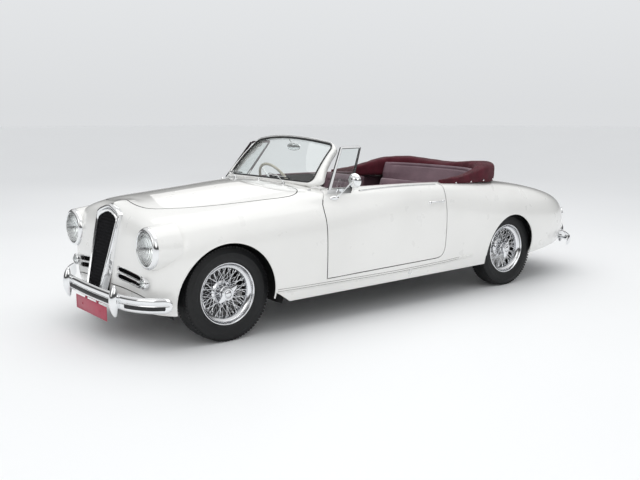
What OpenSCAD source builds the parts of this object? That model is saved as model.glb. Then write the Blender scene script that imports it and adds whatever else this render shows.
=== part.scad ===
// Two-door, four-seat open touring car of the early 1950s, right-hand drive.
// Millimetres. +X is the front of the car, +Y its left side, +Z up, ground at z = 0.
// Body pieces are cut from one smooth surface, each as thick as the real wall or door.

/* [Which piece] */
// Name of the one piece to show, or "all" for the whole car

/* [Overall sizes] */
// Length over both bumpers
overall_length = 4860; // [4000:10:5900]
// Width of the body at its widest place
overall_width = 1661; // [1380:1:2000]
// Height to the top of the windscreen frame
overall_height = 1371; // [1140:1:1650]

/* [Body panels] */
// Thickness of fenders, lids and tail
skin = 20; // [10:1:30]
// Thickness of a whole door
door_thick = 84; // [60:1:110]
// Gap round doors and lids
shut_gap = 7; // [5:0.5:12]
// Gap where two fixed pieces meet
seat_gap = 0.3; // [0.1:0.1:1]

/* [Wheels] */
// Outer diameter of a tyre
tyre_diameter = 662; // [540:2:800]
// Width of a tyre at its sidewalls
tyre_width = 165; // [130:1:200]
// Diameter of the rim flange
rim_diameter = 432; // [350:2:480]
// Width over the rim flanges
rim_width = 132; // [105:1:160]
// Diameter of a brake drum
drum_diameter = 290; // [220:2:320]
// Diameter of the bore through a hub
hub_bore = 36; // [28:1:44]
// Number of spokes in each of the two rows
spoke_count = 12; // [8:1:20]

/* [Running gear] */
// Distance between the two front wheel centres
front_track = 1280; // [1200:2:1360]
// Distance between the two rear wheel centres
rear_track = 1300; // [1200:2:1360]
// Distance of a steering pivot inboard of its wheel centre
pivot_offset = 100; // [80:1:120]
// Diameter of the pin in a steering pivot
pivot_pin = 24; // [18:1:30]
// Diameter of a rear drive shaft
shaft_diameter = 36; // [28:1:44]
// Diameter of the exhaust pipe
exhaust_diameter = 50; // [38:1:60]

/* [Fittings] */
// Diameter of a headlamp rim
lamp_diameter = 280; // [230:2:320]
// Diameter of the steering wheel
wheel_rim = 430; // [360:2:500]
// Inward lean of the quarter lights, in mm for each mm of height
light_lean = 0.335; // [0:0.005:0.5]
// Thickness of the steering wheel rim
wheel_grip = 24; // [18:1:30]
// Thickness of the windscreen glass
glass_thick = 6; // [4:0.5:10]
// Diameter of the jack socket in a sill
jack_bore = 32; // [24:1:40]
// Depth of the jack socket
jack_depth = 60; // [40:1:80]
// Height of a bumper blade
blade_height = 104; // [80:1:130]
// Distance between the two screw holes of the front number plate
plate_holes = 300; // [200:5:380]
// Width of the front number plate
plate_width = 480; // [420:10:560]
// Height of the front number plate
plate_tall = 96; // [80:2:120]

/* [Hidden] */
kx = overall_length / 4860;
ky = overall_width / 1661;
kz = overall_height / 1371;
front_axle_x = 1720 * kx;
rear_axle_x = -1190 * kx;
axle_z = tyre_diameter / 2;
bonnet_thick = skin + 2;
g = seat_gap;
fit = 0.05;
rebate = 15;

// ---- body surface: stations round the left half, from the nose centre to the tail centre.
// Each is [centre x, direction of its ray in plan, list of [reach from the centre, height]].
STATIONS = [
[2205,0,[[115,250],[112,310],[105,400],[92,500],[76,600],[58,700],[42,785],[28,845],[16,885],[7,915],[0,930]]],
[2165,38.7,[[185,250],[190,310],[184,400],[165,500],[142,600],[121,700],[100,785],[80,850],[58,896],[30,922],[0,938]]],
[2115,60,[[296,250],[312,310],[320,400],[312,500],[297,600],[277,700],[253,785],[217,850],[155,898],[78,928],[0,943]]],
[2065,66,[[462,250],[482,310],[494,400],[490,500],[476,600],[454,700],[422,785],[366,850],[260,900],[128,930],[0,942]]],
[2025,71,[[622,245],[648,310],[672,400],[674,500],[664,600],[648,700],[616,790],[532,852],[368,905],[182,930],[0,938]]],
[1995,77,[[708,240],[732,310],[750,410],[758,520],[752,630],[732,730],[680,808],[568,866],[392,912],[195,936],[0,943]]],
[1955,85,[[772,235],[792,310],[804,430],[808,570],[796,695],[757,785],[692,848],[586,893],[420,925],[210,945],[0,952]]],
[1720,90,[[785,225],[805,300],[813,430],[818,590],[808,720],[768,815],[705,875],[600,915],[430,945],[215,965],[0,972]]],
[1345,90,[[775,225],[800,300],[808,430],[811,590],[804,735],[765,835],[705,895],[615,940],[440,975],[220,997],[0,1003]]],
[925,90,[[765,225],[790,300],[797,430],[799,590],[796,740],[758,838],[708,890],[688,975],[500,1008],[260,1027],[0,1033]]],
[315,90,[[765,230],[790,305],[800,430],[808,590],[806,740],[795,840],[775,910],[745,985],[520,1000],[260,1005],[0,1005]]],
[-295,90,[[762,235],[788,310],[803,430],[814,590],[818,720],[808,830],[790,905],[758,975],[520,985],[260,990],[0,990]]],
[-715,90,[[765,240],[795,315],[818,430],[832,580],[832,700],[812,800],[778,885],[738,955],[520,965],[260,970],[0,970]]],
[-1165,90,[[775,245],[805,320],[826,440],[836,570],[828,690],[795,785],[750,860],[690,915],[500,935],[250,945],[0,948]]],
[-1585,90,[[745,270],[770,345],[792,450],[797,560],[780,670],[740,755],[690,815],[620,860],[450,880],[220,888],[0,890]]],
[-1835,96,[[700,300],[725,365],[742,450],[748,545],[730,640],[690,715],[630,765],[545,800],[380,820],[190,828],[0,830]]],
[-1915,108.7,[[640,315],[662,375],[678,450],[682,530],[668,610],[628,680],[565,730],[470,765],[320,788],[160,798],[0,800]]],
[-1975,123.7,[[535,320],[555,380],[570,450],[575,520],[560,590],[522,655],[465,705],[380,742],[260,768],[130,780],[0,784]]],
[-2025,143.7,[[385,320],[402,380],[416,450],[421,515],[410,580],[380,640],[335,690],[270,728],[180,755],[90,768],[0,772]]],
[-2065,180,[[285,320],[302,380],[315,450],[320,515],[310,580],[285,638],[248,688],[195,722],[130,748],[65,760],[0,765]]]];

// Control points with one more row at each edge: mirrored at the nose, tail and
// centre line, carried straight on below the sill.
function opp(p) = [p[0], -p[1], p[2]];
LINES = [for (s = STATIONS) [for (p = s[2])
  [kx * (s[0] + p[0] * cos(s[1])), ky * p[0] * sin(s[1]), kz * p[1]]]];
function edged(r) = concat([2 * r[0] - r[1]], r, [opp(r[len(r) - 2])]);
NET = [for (r = concat([[for (p = LINES[1]) opp(p)]], LINES,
  [[for (p = LINES[len(LINES) - 2]) opp(p)]])) edged(r)];
U_END = len(LINES) - 1;
V_END = len(LINES[0]) - 1;
function weight(t) = [pow(1 - t, 3), 3 * t * t * t - 6 * t * t + 4,
  -3 * t * t * t + 3 * t * t + 3 * t + 1, t * t * t] / 6;
function slope(t) = [-(1 - t) * (1 - t), 3 * t * t - 4 * t, -3 * t * t + 2 * t + 1, t * t] / 2;
function mix(i, j, a, b) = a * [for (m = [0:3]) b * [for (n = [0:3]) NET[i + m][j + n]]];
function cell(t, top) = min(floor(t), top - 1);
function on_body(u, v) = let (i = cell(u, U_END), j = cell(v, V_END))
  mix(i, j, weight(u - i), weight(v - j));
function unit(a) = a / norm(a);
// Outward direction of the surface, taken a hair inside its edges
function outward(u, v) = let (uc = max(0.03, min(u, U_END - 0.03)), vc = min(v, V_END - 0.03),
  i = cell(uc, U_END), j = cell(vc, V_END),
  n = unit(cross(mix(i, j, slope(uc - i), weight(vc - j)), mix(i, j, weight(uc - i), slope(vc - j)))))
  (u <= 0 || u >= U_END || v >= V_END) ? unit([n[0], 0, n[2]]) : n;
function inset(u, v, d) = on_body(u, v) - d * outward(u, v);

// Left-hand piece of the body wall between two depths below the surface
module wall(u0, u1, v0, v1, d0, d1, per = 3) {
  nu = ceil((u1 - u0) * per); nv = ceil((v1 - v0) * 2.1);
  us = [for (i = [0:nu]) u0 + (u1 - u0) * i / nu];
  vs = [for (j = [0:nv]) v0 + (v1 - v0) * j / nv];
  w = nv + 1; m = (nu + 1) * w;
  pts = concat([for (u = us) for (v = vs) inset(u, v, d0)], [for (u = us) for (v = vs) inset(u, v, d1)]);
  faces = concat(
    [for (i = [0:nu - 1]) for (j = [0:nv - 1]) let (a = i * w + j, b = a + 1, c = a + w + 1, d = a + w)
      each [[a, b, c], [a, c, d]]],
    [for (i = [0:nu - 1]) for (j = [0:nv - 1]) let (a = m + i * w + j, b = a + 1, c = a + w + 1, d = a + w)
      each [[a, c, b], [a, d, c]]],
    [for (i = [0:nu - 1]) let (a = i * w, b = a + w) each [[a, b, m + b], [a, m + b, m + a]]],
    [for (i = [0:nu - 1]) let (a = i * w + nv, b = a + w) each [[a, m + b, b], [a, m + a, m + b]]],
    [for (j = [0:nv - 1]) let (a = j, b = j + 1) each [[a, m + b, b], [a, m + a, m + b]]],
    [for (j = [0:nv - 1]) let (a = nu * w + j, b = a + 1) each [[a, b, m + b], [a, m + b, m + a]]]);
  polyhedron(pts, faces, convexity = 8);
}
// The stretches of wall that several pieces share, so that their facets match
module front_wall(d0, d1) { wall(0, 9.4, 0, 10, d0, d1, 2.6); }
module rear_wall(d0, d1) { wall(10.4, 19, 0, 10, d0, d1, 2.5); }
module door_wall(d0, d1) { wall(8.4, 11.4, 0.8, 8.4, d0, d1, 3.4); }
module both(sides = [1, -1]) { for (s = sides) scale([1, s, 1]) children(); }

// Prism over an outline given as [x, z], covering the left half
module side(o, y0 = -1, y1 = 1300) {
  translate([0, y1, 0]) rotate([90, 0, 0]) linear_extrude(y1 - y0)
    polygon([for (p = o) [p[0] * kx, p[1] * kz]]);
}
// Prism over an outline given as [x, y]
module plan(o, z0 = 0, z1 = 2000) {
  translate([0, 0, z0]) linear_extrude(z1 - z0) polygon([for (p = o) [p[0] * kx, p[1] * ky]]);
}
module grown(d) { offset(delta = d) children(); }
// Plain block between two corners
module block(a, b) {
  translate([min(a[0], b[0]) * kx, min(a[1], b[1]) * ky, min(a[2], b[2]) * kz])
    cube([abs(b[0] - a[0]) * kx, abs(b[1] - a[1]) * ky, abs(b[2] - a[2]) * kz]);
}
// Cross sections joined one after another; a ring joins the last to the first
module skin_over(secs, ring = false) {
  n = len(secs[0]); m = len(secs); last = ring ? m - 1 : m - 2;
  polyhedron([for (s = secs) each s], concat(
    [for (i = [0:last]) for (j = [0:n - 1]) let (a = i * n + j, b = i * n + (j + 1) % n,
      k = (i + 1) % m, c = k * n + (j + 1) % n, d = k * n + j) each [[a, c, b], [a, d, c]]],
    ring ? [] : [[for (j = [0:n - 1]) j], [for (j = [n - 1:-1:0]) (m - 1) * n + j]]), convexity = 8);
}
module across(r, y0, y1) { translate([0, y1, 0]) rotate([90, 0, 0]) cylinder(r = r, h = y1 - y0); }
module along(r, x0, x1) { translate([x0, 0, 0]) rotate([0, 90, 0]) cylinder(r = r, h = x1 - x0); }

// ---- outlines that neighbouring panels share
BONNET_SIDE = [[2106,0],[2120,110],[2126,225],[2113,330],[2058,410],[1950,486],[1822,530],[1682,560],
  [1533,581],[1379,601],[1225,624],[1130,630],[1070,612],[1020,560],[1003,470],[1000,300],[1000,0]];
BONNET = concat(BONNET_SIDE, [for (i = [len(BONNET_SIDE) - 2:-1:1]) opp2(BONNET_SIDE[i])]);
function opp2(p) = [p[0], -p[1]];
BOOT_SIDE = [[-1352,0],[-1352,370],[-1362,410],[-1395,437],[-1600,442],[-1900,432],[-2150,405],[-2300,372],
  [-2375,320],[-2402,240],[-2411,120],[-2413,0]];
BOOT = concat(BOOT_SIDE, [for (i = [len(BOOT_SIDE) - 2:-1:1]) opp2(BOOT_SIDE[i])]);
DOOR = [[925,350],[-205,371],[-245,377],[-275,395],[-291,425],[-297,465],[-297,1060],[800,1060],
  [846,985],[868,955],[898,915],[916,880],[925,835]];
COCKPIT_SIDE = [[800,0],[800,590],[760,618],[400,650],[-300,664],[-700,660],[-980,625],[-1130,560],
  [-1220,440],[-1262,250],[-1270,0]];
COCKPIT = concat(COCKPIT_SIDE, [for (i = [len(COCKPIT_SIDE) - 2:-1:1]) opp2(COCKPIT_SIDE[i])]);
module bonnet_plan(d) { translate([0, 0, 500]) linear_extrude(900) grown(d)
  polygon([for (p = BONNET) [p[0] * kx, p[1] * ky]]); }
// The edges of the lid lean along the way it lifts, and match the outline at its hinge
boot_lean = 0.3;
module boot_plan(d) { multmatrix([[1, 0, -boot_lean, boot_lean * 935 * kz], [0, 1, 0, 0], [0, 0, 1, 0]])
  translate([0, 0, 300]) linear_extrude(900) grown(d) polygon([for (p = BOOT) [p[0] * kx, p[1] * ky]]); }
// Part of the top surface ahead of the cockpit that stays on the cowl, inboard of the door's corner
module cowl_top(d) { translate([0, 0, 700]) linear_extrude(600) grown(d)
  polygon([for (p = [[780,-40],[1100,-40],[1100,668],[780,609]]) [p[0] * kx, p[1] * ky]]); }
module door_side(d) { translate([0, 1300, 0]) rotate([90, 0, 0]) linear_extrude(1300) grown(d)
  polygon([for (p = DOOR) [p[0] * kx, p[1] * kz]]); }

// Wheel openings
module front_arch(d = 0) { translate([1755 * kx, 0, axle_z]) across(axle_z + 41 + d, 300, 1300); }
module rear_arch(d = 0) { translate([-1150 * kx, 0, axle_z]) across(axle_z - 5 + d, 300, 1300); }
front_house = axle_z + 97;
rear_house = axle_z + 36;

module lamp_spot() { translate([2240 * kx, 600 * ky, 685 * kz]) children(); }
module park_spot() { translate([2252 * kx, 560 * ky, 450 * kz]) children(); }
module tail_spot() { translate([-2150 * kx, 560 * ky, 560 * kz]) rotate([0, 0, 180 - 38]) children(); }

// ---- body pieces
module fender() {
  resize([0, 0, 0]) difference() {
    union() {
      difference() {
        front_wall(0, skin);
        block([0, -60, 0], [2600, 0, 1500]);
        side([[0,200],[2600,200],[2600,230],[0,230]]);
        bonnet_plan(shut_gap / 2);
        door_side(shut_gap);
        plan([[-100,-10],[925,-10],[925,1300],[-100,1300]], 0, 330 * kz);
        // rear edge of the fender behind the door line belongs to the sill and cowl
        side([[0,100],[1480,100],[1480,316 + g],[925,312 + g],[0,312 + g]]);
        side([[0,100],[921,100],[921,700],[0,700]]);
        plan([[700,-10],[1200,-10],[1200,640 + g],[700,640 + g]]);
      }
      // inner splash panel round the wheel
      difference() {
        translate([front_axle_x, 0, axle_z]) difference() {
          across(front_house + 12, 366 * ky, 900);
          across(front_house, 378 * ky, 1000);
          translate([-700, 0, -500]) cube([1400, 1000, 460]);
        }
        wall(1, 9, 0, 9, -250, skin - 7, 2);
        block([1200, 745, 200], [1400, 900, 316 + g]);
      }
    }
    front_arch();
    lamp_spot() {
      along(lamp_diameter / 2 - 14 + g, -200, 100, $fn = 72);
      along(lamp_diameter / 2 + g, 3, 200, $fn = 72);
    }
    park_spot() {
      along(34 + g, -100, 100);
      along(42 + g, 13, 100);
    }
    // holes for the bumper irons
    translate([2000 * kx, 322 * ky, 281 * kz]) cube([500, 36, 48]);
    translate([2200 * kx, 0, 0]) for (z = [462, 508]) hull() for (y = [222, 470])
      translate([0, y * ky, (z - (y - 222) * 0.09) * kz]) along(11, -60, 200);
    nose_hole();
  }
}
module grille_place() { translate([2362 * kx, 0, 322 * kz]) rotate([0, -14.1, 0]) rotate([90, 0, 90]) children(); }
module nose_hole() {
  grille_place() translate([0, 0, -250]) linear_extrude(350) scale([ky, kz]) grille_shape(10 - g);
}
module cowl() {
  resize([0, 0, 0]) union() {
    both() difference() {
      front_wall(0, skin);
      bonnet_plan(shut_gap / 2);
      plan([[1140,-10],[2600,-10],[2600,1300],[1140,1300]]);
      plan([[-100,-10],[800,-10],[800,1300],[-100,1300]]);
      plan([[-100,640],[2600,640],[2600,1300],[-100,1300]]);
      difference() { door_side(shut_gap); cowl_top(-shut_gap); }
    }
    bonnet_hinges();
    // bulkhead between engine and cabin
    translate([940 * kx, 0, 0]) rotate([90, 0, 90]) linear_extrude(12)
      polygon([for (p = [[-639.7,262],[639.7,262],[639.7,865],[600,940],[480,985],[250,1008],[0,1014],
        [-250,1008],[-480,985],[-600,940],[-639.7,865]]) [p[0] * ky, p[1] * kz]]);
  }
}
// Hinge leaves in the gap behind the bonnet, under its outer face
module bonnet_hinges() {
  both() difference() {
    intersection() { front_wall(6, skin); block([985, 235, 800], [1020, 285, 1200]); }
    bonnet_plan(g - shut_gap / 2);
  }
}
module boot_hinges() {
  both() difference() {
    intersection() { rear_wall(6, skin); block([-1372, 235, 700], [-1335, 285, 1200]); }
    boot_plan(g - shut_gap / 2);
  }
}
module bonnet() {
  resize([0, 0, 0]) intersection() {
    both() front_wall(0, bonnet_thick);
    bonnet_plan(-shut_gap / 2);
  }
}
module door() {
  resize([0, 0, 0]) difference() {
    union() {
      intersection() { door_wall(0, skin + 1); door_side(0); }
      intersection() { door_wall(skin, door_thick); door_side(-rebate); }
    }
    plan(COCKPIT);
    cowl_top(0);
    // slot where the window glass drops out of sight
    plan([[560,706],[-250,722],[-250,728],[560,712]], 700 * kz);
  }
}
module quarter() {
  resize([0, 0, 0]) difference() {
    union() {
      difference() {
        rear_wall(0, skin);
        plan([[-10,-10],[3000,-10],[3000,1300],[-10,1300]]);
        plan([[-1100,-10],[-3000,-10],[-3000,520 + g],[-1100,520 + g]]);
        door_side(shut_gap + 1);
      }
      difference() {
        wall(7, 11.5, 0, 1.6, 0, skin, 2);
        side([[2600,1300],[2600,316],[1480,316],[925,312],[916,312],[916,342],[-213,363],[-262,371],[-290,400],
          [-306,440],[-306,1300]]);
        side([[1395,100],[1395,900],[3000,900],[3000,100]]);
        side([[1395,316],[1255,228],[1395,100]]);
      }
      difference() {
        translate([rear_axle_x, 0, axle_z]) difference() {
          across(rear_house + 12, 528 * ky, 900);
          across(rear_house, 540 * ky, 1000);
          translate([-700, 0, -500]) cube([1400, 1000, 440]);
        }
        wall(11, 17, 0, 9, -250, skin - 7, 2);
      }
    }
    plan(COCKPIT);
    rear_arch();
    translate([67 * kx, 0, 290 * kz]) across(jack_bore / 2 + 3, 600 * ky, 1000);
    tail_spot() {
      along(50 + g, -80, 200);
      along(56 + g, 18, 200);
    }
  }
}
module tail_panel() {
  resize([0, 0, 0]) union() {
    difference() {
      both() rear_wall(0, skin);
      plan([[-1100 - g,-1300],[3000,-1300],[3000,1300],[-1100 - g,1300]]);
      plan(COCKPIT);
      both() plan([[-1000,520],[-3000,520],[-3000,1300],[-1000,1300]]);
      boot_plan(shut_gap / 2);
    }
    boot_hinges();
  }
}
module boot_lid() {
  resize([0, 0, 0]) intersection() {
    both() rear_wall(0, bonnet_thick);
    boot_plan(-shut_gap / 2);
  }
}

// ---- structure
module floor_pan() {
  block([939.7,-640 + g / ky,246], [-470 + g / kx,640 - g / ky,256]);
  both() {
    // front rails and their outriggers
    block([2230,318,262], [953,364,330]);
    block([1010,318,246], [925,640 - g / ky,262]);
  }
  // tunnel
  difference() { block([939.7,-135,250], [-470 + g / kx,135,405]); block([960,-125,200], [-500,125,395]); }
}
// Sill on the left with its door posts, hinge leaves and jack socket
module sill() {
  difference() {
    union() {
      block([1278,640,244], [-760,743.6,312]);
      block([985,640,312], [940,728,790]);
      for (z = [430, 700]) block([940,712,z], [925 - rebate / kx + g, 728, z + 50]);
      block([-320,640,312], [-370,735,900]);
    }
    translate([67 * kx, 0, 290 * kz]) across(jack_bore / 2, 743.6 * ky - jack_depth, 1000);
  }
}
// Heel board, floor under the rear seat and boot, rear bulkhead and rails
module rear_floor() {
  block([-470,-520,246], [-480,520,430]);
  block([-470,-520,430], [-2190,520,440]);
  block([-1085,-520,440], [-1095,520,900]);
  both() {
    block([-490,440,375], [-2190,490,430]);
    block([-2130,445,300 + g], [-2170,475,430]);
  }
}

// ---- windscreen: position across (-1..1) and up (0..1) on the glass
function screen(s, t) = let (b = [945 - 58 * s * s, 563 * s, 1030 - 11 * s * s],
  c = [693 - 63 * s * s, 515 * s, 1343 - 47 * s * s], q = b + (c - b) * t,
  o = q + [16 * sin(180 * t) * 0.6, 0, 12 * sin(180 * t) * 0.6]) [o[0] * kx, o[1] * ky, o[2] * kz];
function screen_out(s, t) = unit(cross(screen(s, t + 0.05) - screen(s, t - 0.05),
  screen(s + 0.05, t) - screen(s - 0.05, t)) * -1);
module windscreen_glass() {
  secs = [for (i = [0:20]) let (s = -1 + i / 10) concat(
    [for (j = [0:6]) screen(s, j / 6)],
    [for (j = [6:-1:0]) screen(s, j / 6) - glass_thick * screen_out(s, j / 6)])];
  resize([0, 0, 0]) union() skin_over(secs);
}
// path round the glass edge, a little outside it
function frame_path() = concat([for (i = [0:12]) [-1 + i / 6, 1]], [for (j = [1:6]) [1, 1 - j / 6]],
  [for (i = [1:12]) [1 - i / 6, 0]], [for (j = [1:5]) [-1, j / 6]]);
module windscreen_frame() {
  w = 44;
  secs = [for (p = frame_path()) let (q = screen(p[0], p[1]), n = screen_out(p[0], p[1]),
    side_w = abs(p[0]) > 0.98 ? 1.35 : 1, d = unit(
      (abs(p[0]) > 0.98 ? [0, 1, 0] * sign(p[0]) * 1.0 : [0, 0, 0])
      + (p[1] > 0.98 ? unit(screen(p[0], 1) - screen(p[0], 0.9)) : [0, 0, 0])
      + (p[1] < 0.02 ? -unit(screen(p[0], 0.1) - screen(p[0], 0)) : [0, 0, 0])),
    f = p[1] < 0.02 ? 0.5 : (p[1] > 0.98 ? 0.75 : side_w))
    [q + n * 12 + d * g, q - n * 22 + d * g, q - n * 22 + d * w * f, q + n * 6 + d * w * f]];
  resize([0, 0, 0]) difference() {
    union() {
      skin_over(secs, true);
      both() hull() {
        translate([858 * kx, 640 * ky, 960 * kz]) cube([50, 40, 40], center = true);
        translate(screen(1, 0) + [0, 30, 0]) cube([44, 26, 40], center = true);
      }
    }
    both() front_wall(-g, 120);
    both() door_side(shut_gap);
  }
}
module quarter_light() {
  o = [[866,930],[852,985],[650,1282],[640,1290],[462,1290],[452,1282],[622,990],[650,930]];
  i = [[812,1003],[645,1266],[637,1272],[474,1272],[470,1264],[636,1003]];
  resize([0, 0, 0]) difference() {
    multmatrix([[1, 0, 0, 0], [0, 1, -light_lean * ky / kz, light_lean * 950 * ky], [0, 0, 1, 0]])
      translate([0, 722 * ky, 0]) rotate([90, 0, 0]) linear_extrude(16) difference() {
        polygon([for (p = o) [p[0] * kx, p[1] * kz]]);
        polygon([for (p = i) [p[0] * kx, p[1] * kz]]);
      }
    door_wall(-g, 200);
  }
}

// ---- front and rear trim
GRILLE = [[0,618],[-70,600],[-140,578],[-178,556],[-176,530],[-148,250],[-118,6],[-112,0],[112,0],[118,6],
  [148,250],[176,530],[178,556],[140,578],[70,600]];
module grille_shape(d) { offset(delta = -d) polygon(GRILLE); }
module grille() {
  grille_place() {
    linear_extrude(26) difference() { scale([ky, kz]) grille_shape(0); scale([ky, kz]) grille_shape(22); }
    translate([0, 0, -60]) linear_extrude(70) difference() {
      scale([ky, kz]) grille_shape(10); scale([ky, kz]) grille_shape(20); }
    translate([0, 0, -20]) linear_extrude(12) scale([ky, kz]) grille_shape(15);
  }
}
module headlamp() {
  r = lamp_diameter / 2;
  lamp_spot() rotate([0, 90, 0]) rotate_extrude()
    polygon([[0,-110],[70,-100],[r - 14,-50],[r - 14,4],[r,4],[r,22],[r - 10,32],[r - 20,34],[r - 34,42],
      [r - 70,54],[r - 110,60],[0,62]]);
}
module parking_lamps() {
  both() park_spot() rotate([0, 90, 0]) rotate_extrude()
    polygon([[0,-40],[34,-40],[34,14],[42,14],[42,22],[36,30],[22,38],[0,42]]);
}
module tail_lamps() {
  both() tail_spot() rotate([0, 90, 0]) rotate_extrude()
    polygon([[0,-30],[50,-30],[50,20],[56,20],[56,30],[40,44],[20,50],[0,52]]);
}
// Bumper blade section carried along a plan path
function blade(p, h, t) = let (a = p[3], c = cos(a), s = sin(a), q = [p[0] * kx, p[1] * ky, p[2] * kz])
  [for (k = [[-t,-h / 2],[-3,-h / 2],[6,-h * 0.3],[9,0],[6,h * 0.3],[-3,h / 2],[-t,h / 2],[-t + 5,0]])
   q + [k[0] * c, k[0] * s, k[1]]];
FRONT_PATH = [[2404,0,322,0],[2400,200,322,4],[2388,400,322,9],[2350,560,324,22],[2290,680,328,38],
  [2215,765,334,55],[2140,806,338,70]];
REAR_PATH = [[-2410,0,330,180],[-2404,200,330,176],[-2385,400,332,170],[-2335,560,336,155],[-2240,690,340,138],
  [-2130,770,342,120],[-1990,812,344,105]];
function swept(path, h) = concat([for (i = [len(path) - 1:-1:1]) let (p = path[i])
    blade([p[0], -p[1], p[2], -p[3]], h, 12)], [for (p = path) blade(p, h, 12)]);
function turned(l) = [for (i = [len(l) - 1:-1:0]) l[i]];
module front_bumper() {
  resize([0, 0, 0]) union() {
    skin_over(turned(swept(FRONT_PATH, blade_height)));
    both() translate([2412 * kx, 394 * ky, 322 * kz]) hull() {
      for (z = [-92, 92]) translate([-10, 0, z]) rotate([0, 90, 8]) cylinder(r = 22, h = 14, $fn = 20);
      translate([-32, 0, 0]) rotate([0, 90, 8]) cylinder(r = 34, h = 50, $fn = 20);
    }
    both() translate([2230 * kx + g, 325 * ky, 285 * kz]) cube([172 * kx, 30, 40]);
  }
}
module rear_bumper() {
  resize([0, 0, 0]) union() {
    skin_over(swept(REAR_PATH, blade_height * 0.8));
    both() translate([-2398 * kx, 430 * ky, 330 * kz]) hull() {
      for (z = [-80, 80]) translate([-6, 0, z]) rotate([0, 90, 172]) cylinder(r = 20, h = 12, $fn = 20);
      translate([16, 0, 0]) rotate([0, 90, 172]) cylinder(r = 30, h = 40, $fn = 20);
    }
    both() block([-2395, 445, 275], [-2120, 475, 300]);
  }
}
module front_plate() {
  x = 2398 * kx;
  translate([x, 0, 200 * kz]) difference() {
    translate([0, -plate_width / 2, -plate_tall / 2]) cube([4, plate_width, plate_tall]);
    for (s = [1, -1]) translate([-5, s * plate_holes / 2, 0]) along(3.5, 0, 20);
  }
  for (y = [-110, 80]) translate([x - 10, y, 230 * kz])
    cube([10, 30, 92 * kz - blade_height / 2 - g]);
}

// ---- cabin
module dashboard() {
  translate([0, 560 * ky, 0]) rotate([90, 0, 0]) linear_extrude(1120 * ky)
    polygon([for (p = [[800 - g,850],[752,858],[722,892],[722,940],[742,972],[790,986],[800 - g,984]]) [p[0] * kx, p[1] * kz]]);
}
module steering_wheel() {
  translate([550 * kx, -372 * ky, 925 * kz]) rotate([0, -62, 0]) {
    rotate_extrude() translate([wheel_rim / 2 - wheel_grip / 2, 0]) circle(wheel_grip / 2);
    translate([0, 0, -40]) cylinder(r = 38, h = 40);
    for (a = [90, 210, 330]) rotate(a) translate([0, 0, -14]) rotate([0, 90, 0]) cylinder(r = 7, h = wheel_rim / 2 - 6);
    translate([0, 0, -433]) cylinder(r = 15, h = 400);
  }
}
module seat_front() {
  y0 = 142 * ky; y1 = 596 * ky;
  translate([0, y1, 0]) rotate([90, 0, 0]) linear_extrude(y1 - y0) {
    polygon([for (p = [[430,256.3],[430,300],[455,330],[458,430],[430,462],[60,430],[20,440],[-60,560],
      [-158,915],[-198,960],[-246,960],[-266,925],[-200,600],[-130,380],[-60,300],[-60,256.3]]) [p[0] * kx, p[1] * kz]]);
  }
}
module seat_rear() {
  translate([0, 515 * ky, 0]) rotate([90, 0, 0]) linear_extrude(1030 * ky)
    polygon([for (p = [[-474,440.3],[-460,500],[-474,552],[-510,570],[-850,545],[-890,560],[-990,985],[-1010,1026],
      [-1040,1034],[-1068,1010],[-1074,900],[-1084,890],[-1084,440.3]]) [p[0] * kx, p[1] * kz]]);
}
// Folded top under its cloth cover: [x, y, height of the top, half width, turn, height of the hem]
COVER = [[-340,695,990,22,90,962],[-560,690,1012,38,90,955],[-740,672,1042,56,88,948],[-880,638,1074,72,76,940],
  [-985,572,1098,86,56,932],[-1065,465,1108,94,38,926],[-1125,300,1092,98,20,920],[-1148,0,1066,100,0,916]];
function cover_sec(p) = let (a = p[4], o = [-cos(a), sin(a), 0], w = p[3], c = [p[0], p[1], 0], b = p[2] - p[5])
  [for (k = [[w,0],[w * 0.98,b * 0.5],[w * 0.7,b * 0.88],[w * 0.1,b],[-w * 0.6,b * 0.9],[-w,b * 0.55],[-w * 1.02,0]])
   let (q = c + o * k[0]) [q[0] * kx, q[1] * ky, (p[5] + k[1]) * kz]];
module top_cover() {
  secs = [for (p = COVER) cover_sec(p)];
  back = [for (i = [len(secs) - 2:-1:0]) [for (q = secs[i]) opp(q)]];
  resize([0, 0, 0]) difference() {
    union() skin_over([for (s = concat(secs, back)) s]);
    // the deck below, and what would hang under it
    both() for (drop = [0, skin + 2]) translate([0, 0, -drop]) rear_wall(-3 * g, skin + 8);
    // relief over the quarter's rolled edge
    both() intersection() { translate([0, 0, 10 * g]) rear_wall(0, skin); block([-370,650,900], [-560,715,1100]); }
    block([-1076,-516,0], [-300,516,2000]);
  }
}

// ---- masses and running gear
module engine_block() {
  block([1660,-235,340], [1000,235,760]);
  block([1600,-317.6,300], [1560,317.6,340]);
}
module transaxle() {
  block([-960,-170,240], [-1420,170,429.6]);
}
module front_axle() {
  ky_p = front_track / 2 - pivot_offset;
  difference() {
    union() {
      translate([front_axle_x - 20, -ky_p, axle_z - 131]) cube([40, 2 * ky_p, 36]);
      translate([front_axle_x - 20, -ky_p, axle_z + 124]) cube([40, 2 * ky_p, 30]);
      for (s = [1, -1]) translate([front_axle_x, s * ky_p, 0]) {
        translate([0, 0, axle_z - 131]) cylinder(r = 28, h = 36);
        translate([0, 0, axle_z + 124]) cylinder(r = 28, h = 30);
      }
      for (s = [1, -1]) translate([front_axle_x - 20, s * 300 * ky - 10, axle_z - 131]) cube([40, 20, 270]);
      for (s = [1, -1]) translate([front_axle_x - 20, s * 341 * ky - 15, axle_z - 100])
        cube([40, 30, 262 * kz - g - axle_z + 100]);
    }
    for (s = [1, -1]) translate([front_axle_x, s * ky_p, 0]) cylinder(r = pivot_pin / 2 + fit, h = 1000);
  }
}
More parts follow.
